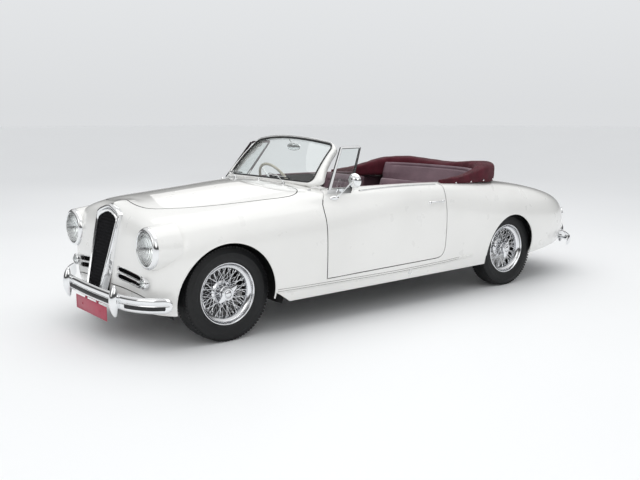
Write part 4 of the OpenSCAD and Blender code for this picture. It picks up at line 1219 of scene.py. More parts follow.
def blade(bm, line, section, taper=0.055):
    """Section of (outwards, up) points carried along a line, narrowed to a round at both ends."""
    steps = len(line) - 1
    reach = [0.0]
    for a, b in zip(line, line[1:]):
        reach.append(reach[-1] + (b - a).length)
    ring = rounded(section, 2)

    def at(s, t):
        i = min(int(s * steps), steps - 1)
        k = s * steps - i
        p = line[i].lerp(line[i + 1], k)
        dist = reach[i] + (reach[i + 1] - reach[i]) * k
        near = i if k < 0.5 else i + 1
        ahead = (line[min(near + 1, steps)] - line[max(near - 1, 0)]).normalized()
        out = ahead.cross(Vector((0, 0, 1))).normalized()
        if out.x * (1 if p.x > 0 else -1) < 0 and abs(p.y) < 0.3:
            out = -out
        centre = Vector((p.x * 0.5, 0, 0))
        if out.dot(p - centre) < 0:
            out = -out
        end = min(dist, reach[-1] - dist)
        size = max(0.02, math.sqrt(max(0.0, 1 - (1 - min(1.0, end / taper)) ** 2)))
        o, up = ring[int(round(t * len(ring))) % len(ring)]
        return p + out * (o * size) + Vector((0, 0, up * size))
    patch(bm, at, steps * 2, len(ring), closed=True)
    close_ends(bm)


def overrider(bm, x, y, z, tall, wide, deep, yaw):
    """Tall domed guard: rounded bullet in the middle, flat at the back, curled in at both tips."""
    def at(s, t):
        up = (s - 0.5) * 2
        body = (1 - abs(up) ** 2.6) ** 0.5
        c, n = math.cos(TAU * t), math.sin(TAU * t)
        front = deep * body * (0.62 + 0.38 * math.cos(up * 1.7)) if c > 0 else 0.018 * body
        q = Vector((c * front, n * wide / 2 * (body * 0.8 + 0.2 * body * math.cos(up * 1.4)), up * tall / 2))
        return Matrix.Rotation(yaw, 3, "Z") @ q + Vector((x, y, z))
    out = patch(bm, at, 28, 36, closed=True)
    bmesh.ops.remove_doubles(bm, verts=out, dist=1e-4)


def bumpers():
    front = [(-0.012, -0.052), (-0.003, -0.052), (0.006, -0.040), (0.0085, -0.026), (0.0085, -0.004),
             (0.004, 0.002), (0.010, 0.012), (0.012, 0.030), (0.006, 0.046), (-0.004, 0.052),
             (-0.012, 0.052), (-0.007, 0.0)]
    line = bumper_line(FRONT_LINE)
    bm = bmesh.new()
    blade(bm, line, front)
    piece("front_bumper_blade", bm, "body", CHROME, ("front_bumper",))
    bm = bmesh.new()
    for side in (1, -1):
        overrider(bm, 2.398, side * 0.394, 0.322, 0.222, 0.070, 0.042, side * 0.14)
    for y in (-0.340, 0.310):
        slab(bm, (2.20, y, 0.285), (2.39, y + 0.030, 0.325), 0.004)
    piece("front_overriders", bm, "body", CHROME)

    # black strip let into the lower half of the blade, in three stretches
    bm = bmesh.new()
    strip = [(0.002, -0.031), (0.0105, -0.030), (0.0120, -0.017), (0.0105, -0.004), (0.002, -0.003)]
    total = len(line)
    for a, b in ((0.055, 0.292), (0.315, 0.685), (0.708, 0.945)):
        blade(bm, line[int(a * total):int(b * total)], strip, 0.010)
    piece("front_bumper_strips", bm, "body", RUBBER)

    rear = [(-0.012, -0.040), (-0.003, -0.041), (0.006, -0.026), (0.009, 0.0), (0.006, 0.026),
            (-0.003, 0.041), (-0.012, 0.040), (-0.007, 0.0)]
    bm = bmesh.new()
    blade(bm, bumper_line(REAR_LINE), rear)
    piece("rear_bumper_blade", bm, "body", CHROME, ("rear_bumper",))
    bm = bmesh.new()
    for side in (1, -1):
        overrider(bm, -2.392, side * 0.430, 0.330, 0.196, 0.062, 0.036, math.pi - side * 0.14)
        slab(bm, (-2.385, side * 0.460 - 0.015, 0.276), (-2.13, side * 0.460 + 0.015, 0.300), 0.003)
    piece("rear_overriders", bm, "body", CHROME)


def plates():
    """Blank enamel plates, the front one with a pressed border, two chromed screws and two hangers."""
    bm = bmesh.new()
    x, w, h, z = 2.398, 0.262, 0.050, 0.207
    slab(bm, (x, -w, z - h), (x + 0.0022, w, z + h), 0.001, 2)
    inner_w, inner_h = w - 0.008, h - 0.008
    ring = [(x + 0.0022, a * inner_w, z + b * inner_h) for a, b in ((-1, -1), (1, -1), (1, 1), (-1, 1))]
    pipe(bm, ring, 0.0012, cyclic=True)
    n = len(bm.faces)
    for y in (-0.150, 0.150):
        lathe(bm, [(0.007, 0), (0.007, 0.002), (0.004, 0.0038), (0, 0.004)],
              facing((x + 0.002, y, z), (1, 0, 0)), 20)
    for y in (-0.095, 0.095):
        slab(bm, (x - 0.010, y - 0.013, z + 0.03), (x, y + 0.013, 0.2695), 0.002)
    painted(bm, n, 1)
    piece("front_plate_blank", bm, "body", [PLATE_RED, CHROME], ("front_plate",))

    # blank rear plate under a small lamp, on the tail
    bm = bmesh.new()
    x = min(BODY.back(y, z)[0].x for y in (0, 0.13, 0.26) for z in (0.435, 0.49, 0.545)) - 0.006
    slab(bm, (x - 0.003, -0.26, 0.435), (x, 0.26, 0.545), 0.0012, 2)
    n = len(bm.faces)
    slab(bm, (x - 0.028, -0.09, 0.552), (x + 0.03, 0.09, 0.580), 0.009, 4)
    for y in (-0.2, 0.2):
        slab(bm, (x - 0.001, y - 0.010, 0.445), (x + 0.05, y + 0.010, 0.535), 0.002)
    painted(bm, n, 1)
    piece("rear_plate_blank", bm, "body", [PLATE_RED, CHROME])


# ---------------------------------------------------------------- windscreen and quarter lights
SCREEN_HALF, SCREEN_TALL = 0.54, 0.40


def screen(s, t):
    """Point of the windscreen glass, s across from -1 to 1, t up from 0 to 1."""
    foot = Vector((945 - 58 * s * s, 563 * s, 1030 - 11 * s * s))
    head = Vector((693 - 63 * s * s, 515 * s, 1343 - 47 * s * s))
    bow = math.sin(math.pi * min(1, max(0, t)))
    return (foot.lerp(head, t) + Vector((9.6 * bow, 0, 7.2 * bow))) / 1000


def screen_out(s, t):
    """Direction square to the glass, towards the nose."""
    up = screen(s, min(1, t + 0.02)) - screen(s, max(0, t - 0.02))
    out = (screen(s + 0.02, t) - screen(s - 0.02, t)).cross(up)
    return out.normalized() * (1 if out.x > 0 else -1)


def screen_edge(grow_side, grow_top, grow_foot, radius, n=9):
    """Rounded outline in (s, t), grown by three distances in metres."""
    out = []
    for k, (s, t) in enumerate([(1, 1), (-1, 1), (-1, 0), (1, 0)]):
        for i in range(n + 1):
            a = math.pi / 2 * (k + i / n)
            tall = t + (grow_top if t else -grow_foot) / SCREEN_TALL
            side = s * (1 + grow_side / SCREEN_HALF)
            cx = side - math.copysign(radius / SCREEN_HALF, s)
            cy = tall - math.copysign(radius / SCREEN_TALL, t - 0.5)
            out.append((cx + math.cos(a) * radius / SCREEN_HALF, cy + math.sin(a) * radius / SCREEN_TALL))
    return out


def densify(ring, most=0.08):
    """Closed ring with points added so that none are far apart."""
    out = []
    for a, b in zip(ring, ring[1:] + ring[:1]):
        n = max(1, int(math.hypot(b[0] - a[0], b[1] - a[1]) / most))
        out += [(a[0] + (b[0] - a[0]) * i / n, a[1] + (b[1] - a[1]) * i / n) for i in range(n)]
    return out


def windscreen():
    bm = bmesh.new()
    patch(bm, lambda s, t: screen(s * 2 - 1, 0.004 + 0.992 * t) - screen_out(s * 2 - 1, t) * 0.006, 48, 20)
    bmesh.ops.solidify(bm, geom=bm.faces[:], thickness=0.005)
    outward(bm)
    piece("windscreen_pane", bm, "body", GLASS, ("windscreen_glass",))

    inner = densify(screen_edge(-0.004, -0.004, -0.004, 0.052))
    outer = []
    for s, t in inner:
        side = 0.046 + 0.056 * max(0.0, 1 - t) ** 3
        top = 0.013 if t > 0.5 else 0.026
        reach = min(1, abs(s)) ** 8
        outer.append((s * (1 + side * reach / SCREEN_HALF),
                      t + (top if t > 0.5 else -top) / SCREEN_TALL * min(1, abs(t - 0.5) * 2) ** 8))
    section = [(0.0, -0.012), (0.0, 0.004), (0.10, 0.008), (0.5, 0.012), (0.86, 0.008), (1.0, -0.002),
               (1.0, -0.014), (0.6, -0.024), (0.10, -0.020)]
    rings = []
    for k, h in section:
        ring = []
        for (s0, t0), (s1, t1) in zip(inner, outer):
            s, t = s0 + (s1 - s0) * k, t0 + (t1 - t0) * k
            side = min(1.0, max(0.0, (abs(s) - 0.90) / 0.09)) if 0.02 < t < 1.02 else 0.0
            deep = h * (1 + side) if h < -0.003 else h
            ring.append(screen(s, t) + screen_out(max(-1, min(1, s)), t) * deep)
        rings.append(ring)
    bm = bmesh.new()
    join_rings(bm, rings)
    piece("windscreen_surround", bm, "body", IVORY, ("windscreen_frame",), sharp=50)

    bm = bmesh.new()
    ring = densify(screen_edge(-0.006, -0.006, -0.006, 0.050))
    pipe(bm, [screen(s, t) + screen_out(s, t) * 0.004 for s, t in ring], 0.0085, cyclic=True)
    piece("windscreen_seal", bm, "body", RUBBER)
    bm = bmesh.new()
    ring = [(s, t) for s, t in densify(screen_edge(0.004, 0.006, 0.004, 0.058)) if t > 0.12]
    cut = next(i for i in range(len(ring)) if ring[i][0] < 0 and ring[i][1] < 0.2)
    pipe(bm, [screen(s, t) + screen_out(s, t) * 0.0125 for s, t in ring[:cut]], 0.0022)
    piece("windscreen_bead", bm, "body", CHROME)

    # interior mirror on a stalk from the top rail
    bm = bmesh.new()
    head = screen(0, 0.985) - screen_out(0, 1) * 0.022
    mirror_spot = head + Vector((-0.045, 0, -0.060))
    rod(bm, head, mirror_spot, 0.004, 12)
    out = lathe(bm, [(0, 0.010), (0.020, 0.009), (0.030, 0.004), (0.031, 0.0), (0, 0.0)],
                facing(mirror_spot, (1, 0, 0.1)), 48)
    bmesh.ops.scale(bm, vec=(1, 2.9, 1), space=Matrix.Translation(-mirror_spot), verts=out)
    clean(bm)
    n = len(bm.faces)
    out = lathe(bm, [(0.028, 0.0), (0.028, -0.002), (0, -0.002)], facing(mirror_spot, (1, 0, 0.1)), 48)
    bmesh.ops.scale(bm, vec=(1, 2.95, 1), space=Matrix.Translation(-mirror_spot), verts=out)
    painted(bm, n, 1)
    piece("cabin_mirror", bm, "body", [CHROME, MIRROR])


def wipers():
    """Two wipers parked along the foot of the glass, and three small round jets."""
    arms, blades = bmesh.new(), bmesh.new()
    for y in (0.335, -0.335):
        spot = Vector((0.985, y, BODY.top(0.985, abs(y))[0].z))
        lathe(arms, [(0.015, -0.01), (0.015, 0.004), (0.010, 0.012), (0.009, 0.020), (0.006, 0.023),
                     (0, 0.023)], facing(spot, (0.25, 0, 1)), 24)
        tip_s = y / 0.56 - 0.34
        mid_s = y / 0.56 - 0.28
        mid = screen(mid_s, 0.075) + screen_out(mid_s, 0.08) * 0.020
        bend = [spot + Vector((0.004, 0, 0.018)), spot + Vector((-0.006, -0.05, 0.034)), mid]
        pipe(arms, curve_through(bend), 0.0032)
        along = [tip_s - 0.10 + 0.44 * k / 12 for k in range(13)]
        line = [screen(s, 0.055) + screen_out(s, 0.06) * 0.010 for s in along]
        pipe(blades, line, 0.0042)
        pipe(arms, [p + Vector((0.004, 0, 0.005)) for p in line[2:-2]], 0.0022)
    for y in (0.0, 0.60, -0.60):
        x = 0.985 if y == 0 else 0.945
        spot, n = BODY.top(x, abs(y))
        lathe(arms, [(0.011, -0.004), (0.011, 0.004), (0.007, 0.010), (0.004, 0.016), (0, 0.017)],
              facing((spot.x, y, spot.z), (n.x, math.copysign(n.y, y) if y else 0, n.z)), 24)
    clean(arms)
    piece("wiper_arms", arms, "body", CHROME)
    piece("wiper_blades", blades, "body", RUBBER)


QUARTER_OUT = [(860, 956), (848, 985), (650, 1282), (640, 1290), (462, 1290), (452, 1282), (622, 990),
               (640, 950)]
QUARTER_IN = [(824, 985), (819, 995), (645, 1270), (638, 1275), (470, 1275), (467, 1268), (634, 995),
              (639, 985)]
LIGHT_LEAN = 0.335


def light_y(z):
    return 0.714 - LIGHT_LEAN * (z - 0.950)


def quarter_lights():
    """Chrome frame with its pane on top of each door, and black seals round the pane and down both bars."""
    for side, s in SIDES:
        bm = bmesh.new()
        section = ((QUARTER_OUT, -0.006), (QUARTER_OUT, 0.004), (QUARTER_IN, 0.007), (QUARTER_IN, -0.008))
        join_rings(bm, [[(x, light_y(z) + dy, z) for x, z in metres(ring)] for ring, dy in section])
        if s < 0:
            flip(bm)
        piece(f"quarter_frame_{side}", bm, f"door_{side}", CHROME,
              (f"quarter_light_{side}",), sharp=30)
        bm = bmesh.new()
        ring = [(x, s * light_y(z) - 0.002, z) for x, z in grown(metres(QUARTER_IN), 0.003)]
        prism(bm, ring, (0, 0.004, 0))
        outward(bm)
        piece(f"quarter_pane_{side}", bm, f"door_{side}", GLASS)
        bm = bmesh.new()
        post = metres([(456, 1276), (618, 996), (634, 965)])
        pipe(bm, [(x - 0.001, s * light_y(z), z) for x, z in post], 0.006)
        pipe(bm, [(x, s * light_y(z), z) for x, z in metres(grown(QUARTER_IN, -3))], 0.0028, cyclic=True)
        front = metres(QUARTER_OUT[1:3])
        pipe(bm, [(x + 0.002, s * (light_y(z) + 0.001), z) for x, z in front], 0.0042)
        piece(f"quarter_seal_{side}", bm, f"door_{side}", RUBBER)


def door_fittings():
    """Handles, the chrome wing mirror, and the strips where each window glass drops out of sight."""
    for side, s in SIDES:
        bm = bmesh.new()
        # outside handle: a curved grip on two round feet
        line = [(-0.115, 0.830, 0.004), (-0.150, 0.830, 0.022), (-0.205, 0.829, 0.027),
                (-0.250, 0.829, 0.022), (-0.268, 0.829, 0.010)]
        pipe(bm, curve_through([lifted(BODY.side(x, z), d) for x, z, d in line]), 0.0065, sides=4)
        for x in (-0.118, -0.262):
            spot, n = BODY.side(x, 0.829)
            lathe(bm, [(0.013, -0.002), (0.013, 0.003), (0.009, 0.007), (0.006, 0.014), (0, 0.015)],
                  facing(spot, n), 32)
        # strip over the window slot and its bright edge
        slot = [(0.555, 0.709), (0.15, 0.716), (-0.245, 0.725)]
        pts = [BODY.top(x, y)[0] + Vector((0, 0, 0.001)) for x, y in slot]
        pipe(bm, curve_through([p + Vector((0, 0.007, 0)) for p in pts]), 0.0028)
        if s > 0:
            wing_mirror(bm)
        else:
            flip(bm)
        clean(bm)
        piece(f"door_brightwork_{side}", bm, f"door_{side}", CHROME)
        bm = bmesh.new()
        pipe(bm, curve_through([(p.x, s * p.y, p.z) for p in pts]), 0.0035)
        piece(f"glass_strip_{side}", bm, f"door_{side}", RUBBER)
    bm = bmesh.new()
    lathe(bm, [(0.0535, 0.0), (0.0535, -0.002), (0, -0.002)], facing(MIRROR_HEAD, MIRROR_WAY), 48)
    piece("wing_mirror_face", bm, "door_left", MIRROR)


MIRROR_FOOT = (0.800, 0.715)
MIRROR_HEAD = Vector((0.655, 0.774, 1.044))
MIRROR_WAY = Vector((1.0, 0.30, -0.05))


def wing_mirror(bm):
    """Round chrome mirror on a leaning stalk from a teardrop foot."""
    spot, n = BODY.top(*MIRROR_FOOT)
    out = lathe(bm, [(0.018, -0.004), (0.018, 0.004), (0.013, 0.010), (0.006, 0.016), (0, 0.017)],
                facing(spot, n), 32)
    bmesh.ops.scale(bm, vec=(2.3, 1.0, 1), space=Matrix.Translation(-spot), verts=out)
    back = MIRROR_HEAD + MIRROR_WAY.normalized() * 0.020
    pipe(bm, curve_through([spot + n * 0.010, spot + n * 0.030 + Vector((-0.02, 0.004, 0)),
                            back + Vector((0.03, -0.012, -0.030)), back]), 0.0045)
    lathe(bm, [(0.0, 0.030), (0.016, 0.0295), (0.034, 0.024), (0.048, 0.013), (0.0555, 0.001),
               (0.056, -0.003), (0.054, -0.004), (0.053, -0.001),
               (0.0, -0.001)], facing(MIRROR_HEAD, MIRROR_WAY), 64)


# ---------------------------------------------------------------- seats and cabin
def edge_round(t, power):
    """One in the middle of a pad, falling to nothing at its edge."""
    return max(0.0, 1 - abs(2 * t - 1) ** power) ** (1 / power)


def pad(bm, matrix, size, channels=0, along="x", crown=0.012, base=0.03, groove=0.010, power=7, margin=0.13):
    """Padded shape: rounded top with sewn channels inside a plain border, flat underneath."""
    lx, ly, lz = size

    def top(s, t):
        e = edge_round(s, power) * edge_round(t, power)
        swell = crown * math.sin(math.pi * s) * math.sin(math.pi * t)
        h = base + (lz - base) * e + swell
        k, across = (s, t) if along == "x" else (t, s)
        inside = min(1.0, max(0.0, min(k, 1 - k, across, 1 - across) - margin * 0.75) / 0.02)
        if channels and margin < k < 1 - margin:
            f = (k - margin) / (1 - 2 * margin) * channels
            h -= groove * inside * (1 - abs(math.sin(math.pi * f)) ** 0.45)
        ring = min(abs(min(s, 1 - s) - margin), 9) if margin < min(t, 1 - t) + 1e-9 else 9
        ring = min(ring, abs(min(t, 1 - t) - margin) if margin <= min(s, 1 - s) + 1e-9 else 9)
        h -= groove * 0.8 * math.exp(-(ring / 0.010) ** 2)
        pull = 1 - 0.012 * (1 - e)
        return Vector(((s - 0.5) * lx * pull, (t - 0.5) * ly * pull, h))
    verts = patch(bm, top, 84, 84)
    rim = [e for e in {e for v in verts for e in v.link_edges} if e.is_boundary]
    out = bmesh.ops.extrude_edge_only(bm, edges=rim)["geom"]
    for v in only(bmesh.types.BMVert, out):
        v.co.z = 0
    bmesh.ops.holes_fill(bm, edges=[e for e in only(bmesh.types.BMEdge, out) if e.is_boundary], sides=0)
    made = connected(verts[:1])
    bmesh.ops.recalc_face_normals(bm, faces=list({f for v in made for f in v.link_faces}))
    bmesh.ops.transform(bm, matrix=matrix, verts=made)
    return made


def placed(x_axis, y_axis, origin):
    """Matrix from two directions and an origin, its third axis square to both."""
    x = Vector(x_axis).normalized()
    z = x.cross(Vector(y_axis)).normalized()
    y = z.cross(x)
    m = Matrix((x, y, z)).transposed().to_4x4()
    m.translation = Vector(origin)
    return m


def leather_pad(name, matrix, size, nodes=(), wrap=0.0, **how):
    """Padded leather piece; wrap brings the top corners forward, as on a curved back."""
    bm = bmesh.new()
    made = pad(bm, matrix, size, **how)
    for v in made if wrap else ():
        v.co.x += wrap * (2 * abs(v.co.y) / size[1]) ** 3 * min(1.0, max(0.0, (v.co.z - 0.60) / 0.35))
    ob = piece(name, bm, "body", PLUM, nodes, sharp=0)


SEAT_Y = 0.369


def seats():
    """Two pleated front seats on their shells and rails, and the rear bench with its plinth."""
    for side, s in SIDES:
        y = s * SEAT_Y
        cushion = placed((1, 0, 0.09), (0, 1, 0), (0.205, y, 0.335))
        leather_pad(f"seat_cushion_{side}", cushion, (0.50, 0.450, 0.125), (f"seat_front_{side}",),
                    channels=7, along="y", crown=0.018)
        back = placed((-0.155, 0, 0.50), (0, -1, 0), (-0.1625, y, 0.676))
        leather_pad(f"seat_back_{side}", back, (0.608, 0.455, 0.085), channels=7, along="y", crown=0.014)
        bm = bmesh.new()
        shell = [(-0.266, 0.930), (-0.240, 0.952), (-0.215, 0.945), (-0.130, 0.560), (-0.085, 0.440),
                 (-0.085, 0.330), (0.430, 0.345), (0.440, 0.300), (0.430, 0.262), (-0.075, 0.262),
                 (-0.110, 0.330)]
        prism(bm, [(x, y - 0.215, z) for x, z in shell], (0, 0.430, 0))
        outward(bm)
        round_edges(bm, bm.edges[:], 0.008, 3)
        piece(f"seat_shell_{side}", bm, "body", PIPING)
        bm = bmesh.new()
        for dy in (-0.16, 0.16):
            slab(bm, (-0.05, y + dy - 0.012, 0.2562), (0.43, y + dy + 0.012, 0.272), 0.002)
        piece(f"seat_rails_{side}", bm, "body", PIPE)
    # rear bench
    cushion = placed((1, 0, 0.07), (0, 1, 0), (-0.660, 0, 0.450))
    leather_pad("rear_cushion", cushion, (0.40, 1.02, 0.125), ("seat_rear",), channels=14, along="y",
                crown=0.020, margin=0.07)
    back = placed((-0.135, 0, 0.44), (0, -1, 0), (-0.990, 0, 0.792))
    leather_pad("rear_back", back, (0.50, 1.13, 0.090), crown=0.022, margin=0.07, power=12, wrap=0.11)
    bm = bmesh.new()
    slab(bm, (-0.87, -0.510, 0.441), (-0.470, 0.510, 0.475), 0.008)
    slab(bm, (-1.080, -0.512, 0.441), (-0.960, 0.512, 0.560), 0.008)
    outward(bm)
    piece("rear_seat_base", bm, "body", PIPING)


def cabin_trim():
    """Side boxes beside the rear seat, quarter linings, carpets and the roll round the cockpit's edge."""
    bm = bmesh.new()
    for s in (1, -1):
        side_slab(bm, s, (-1.070, 0.522, 0.442), (-0.475, 0.690, 0.742), 0.022, 4)
    piece("rear_arm_boxes", bm, "body", PLUM)
    bm = bmesh.new()

    def lining(s, t):
        x = -0.312 - 0.80 * s
        foot = 0.300 + 0.450 * min(1.0, max(0.0, (-0.62 - x) / 0.14))
        z = foot + (BODY.top(x, 0.690)[0].z - 0.006 - foot) * t
        spot, n = BODY.side(x, z)
        return spot - n * (0.030 + 0.020 * (1 - t)) if spot.y > 0.3 else Vector((x, 0.66, z))
    patch(bm, lining, 40, 20)
    bmesh.ops.solidify(bm, geom=bm.faces[:], thickness=0.004)
    mirrored(bm)
    outward(bm)
    piece("quarter_linings", bm, "body", PLUM)

    bm = bmesh.new()
    for s in (-1, 1):
        side_slab(bm, s, (-0.468, 0.138, 0.2562), (0.936, 0.636, 0.266), 0.003)
    slab(bm, (-0.468, -0.139, 0.2562), (0.936, 0.139, 0.411), 0.018)
    slab(bm, (-0.4695, -0.636, 0.258), (-0.462, 0.636, 0.447), 0.003)
    slab(bm, (0.929, -0.636, 0.26), (0.9385, 0.636, 0.80), 0.003)
    for s in (1, -1):
        side_slab(bm, s, (-0.30, 0.639, 0.26), (0.90, 0.650, 0.322), 0.003)
    slab(bm, (-2.19, -0.512, 0.4405), (-1.10, 0.512, 0.449), 0.003)
    piece("carpets", bm, "body", CARPET)

    # chrome tread plates on the sills
    bm = bmesh.new()
    for s in (1, -1):
        side_slab(bm, s, (-0.20, 0.655, 0.3122), (0.86, 0.735, 0.3155), 0.001, 2)
        for k in range(4):
            y = s * (0.668 + 0.018 * k)
            slab(bm, (-0.19, y - 0.003, 0.3155), (0.85, y + 0.003, 0.3175), 0.0008, 2)
    piece("tread_plates", bm, "body", CHROME)

    # roll of leather along the cockpit's edge, in a fixed stretch and one on each door
    fixed = [(x, y) for x, y in rounded(metres(COCKPIT)) if y > 0.001 and x < -0.304]
    bm = bmesh.new()
    pipe(bm, [(x, y - 0.002, BODY.top(x, y + 0.004)[0].z - 0.005) for x, y in fixed], 0.009)
    mirrored(bm)
    piece("cockpit_roll", bm, "body", PIPING)
    for side, s in SIDES:
        bm = bmesh.new()
        spots = [(0.735, 0.621), (0.40, 0.650), (0.05, 0.657), (-0.292, 0.664)]
        line = curve_through([(x, s * (y - 0.001), BODY.top(x, y + 0.004)[0].z - 0.005) for x, y in spots],
                             10)
        pipe(bm, line, 0.008)
        piece(f"door_roll_{side}", bm, f"door_{side}", PIPING)


def door_cards():
    """Leather lining on the inner face of each door, with a pleated lower half, winder and pull."""
    for side, s in SIDES:
        bm = bmesh.new()

        def card(a, t):
            x, z = 0.800 - 1.055 * a, 0.405 + 0.475 * t
            spot, n = BODY.side(x, z)
            e = edge_round(a, 16) * edge_round(t, 12)
            h = 0.002 + 0.010 * e
            if t < 0.58 and 0.05 < a < 0.95:
                h -= 0.005 * (1 - abs(math.sin(math.pi * 22 * a)) ** 0.5) * min(1, t / 0.06)
            h -= 0.005 * math.exp(-((t - 0.60) / 0.012) ** 2)
            p = spot - Vector((0, 1, 0)) * (DOOR_THICK / max(0.6, n.y) + h)
            return Vector((p.x, s * p.y, p.z))
        patch(bm, card, 150, 36)
        rim = [e for e in bm.edges if e.is_boundary]
        out = bmesh.ops.extrude_edge_only(bm, edges=rim)["geom"]
        for v in only(bmesh.types.BMVert, out):
            v.co.y += s * 0.012
        close_ends(bm)
        piece(f"door_card_{side}", bm, f"door_{side}", PLUM, sharp=60)
        bm = bmesh.new()
        hub, lever = (Vector((x, s * (BODY.side(x, z)[0].y - DOOR_THICK - 0.012), z))
                      for x, z in ((0.36, 0.62), (0.56, 0.70)))
        lathe(bm, [(0.018, -0.002), (0.018, 0.004), (0.010, 0.012), (0, 0.014)], facing(hub, (0, -s, 0)), 32)
        tip = hub + Vector((-0.085, -s * 0.022, 0.045))
        crank = [hub + Vector((0, -s * 0.010, 0)), hub + Vector((-0.03, -s * 0.020, 0.018)), tip]
        pipe(bm, curve_through(crank, 6), 0.005)
        rod(bm, tip, tip + Vector((0, -s * 0.030, 0)), 0.009, 16)
        lathe(bm, [(0.017, -0.002), (0.017, 0.004), (0.008, 0.012), (0, 0.013)], facing(lever, (0, -s, 0)),
              32)
        pipe(bm, curve_through([lever + Vector((0, -s * 0.010, 0)),
                                lever + Vector((-0.04, -s * 0.022, 0.004)),
                                lever + Vector((-0.10, -s * 0.018, 0.006))], 6), 0.0048)
        clean(bm)
        piece(f"door_inner_fittings_{side}", bm, f"door_{side}", CHROME)


# ---------------------------------------------------------------- dashboard and steering wheel
def dashboard():
    """Painted panel with dials, knobs and a glovebox lid."""
    outline = rounded(metres([(799, 850), (752, 858), (722, 892), (722, 940), (742, 972), (790, 986),
                              (799, 984)]))
    bm = bmesh.new()
    half = 0.558

    def face(s, t):
        y = (s * 2 - 1) * half
        x, z = outline[int(round(t * len(outline))) % len(outline)]
        arch = 0.026 * (1 - (y / half) ** 2) * max(0, (z - 0.85) / 0.136)
        return Vector((x, y, z + arch))
    patch(bm, face, 40, len(outline), closed=True)
    close_ends(bm)
    piece("dash_panel", bm, "body", ENAMEL, ("dashboard",), sharp=45)

    rims, discs, marks, knobs = bmesh.new(), bmesh.new(), bmesh.new(), bmesh.new()
    dials = [(-0.300, 0.925, 0.052), (-0.445, 0.925, 0.052), (-0.3725, 0.900, 0.020), (-0.185, 0.925, 0.030),
             (0.0, 0.935, 0.036), (0.120, 0.925, 0.030)]
    for y, z, r in dials:
        at = facing((0.7225, y, z), (-1, 0, 0))
        lathe(rims, [(r, -0.002), (r, 0.006), (r - 0.002, 0.008), (r - 0.005, 0.007), (r - 0.006, 0.002)],
              at, 48)
        lathe(discs, [(r - 0.005, 0.002), (0, 0.002), (0, 0.0), (r - 0.005, 0.0)], at, 48)
        ticks = 24 if r > 0.04 else 12
        for k in range(ticks):
            a = TAU * k / ticks
            if math.sin(a) < -0.75:
                continue
            far, near = r - 0.008, r - (0.015 if k % 2 == 0 else 0.011)
            p = Vector((0.7195, y + far * math.cos(a), z + far * math.sin(a)))
            q = Vector((0.7195, y + near * math.cos(a), z + near * math.sin(a)))
            rod(marks, p, q, 0.0007, 4)
        a = math.radians(220)
        tip = Vector((0.7185, y + (r - 0.012) * math.cos(a), z + (r - 0.012) * math.sin(a)))
        rod(marks, Vector((0.7185, y, z)), tip, 0.0008, 4)
        rod(rims, Vector((0.7205, y, z)), Vector((0.7175, y, z)), 0.004, 16)
    for k in range(6):
        spot = Vector((0.730, -0.14 + 0.055 * k, 0.872))
        rod(rims, spot + Vector((0.012, 0, 0)), spot + Vector((-0.012, 0, 0)), 0.003, 12)
        lathe(knobs, [(0.004, 0), (0.009, 0.003), (0.010, 0.010), (0.007, 0.014), (0, 0.015)],
              facing(spot + Vector((-0.010, 0, 0)), (-1, 0, 0)), 24)
    # glovebox lid with its bright edge and knob
    lid = [(0.7215, 0.215, 0.885), (0.7215, 0.520, 0.885), (0.7215, 0.520, 0.955), (0.7215, 0.215, 0.955)]
    pipe(rims, lid, 0.0022, cyclic=True)
    knob = facing((0.7215, 0.3675, 0.942), (-1, 0, 0))
    lathe(knobs, [(0.005, 0), (0.010, 0.004), (0.010, 0.010), (0, 0.014)], knob, 24)
    clean(rims)
    piece("dash_brightwork", rims, "body", CHROME)
    piece("dash_dials", discs, "body", DIAL)
    piece("dash_marks", marks, "body", IVORY_PLASTIC)
    piece("dash_knobs", knobs, "body", IVORY_PLASTIC)


WHEEL_SPOT = Vector((0.550, -0.372, 0.925))
WHEEL_TURN = Matrix.Translation(WHEEL_SPOT) @ Matrix.Rotation(math.radians(-62), 4, "Y")


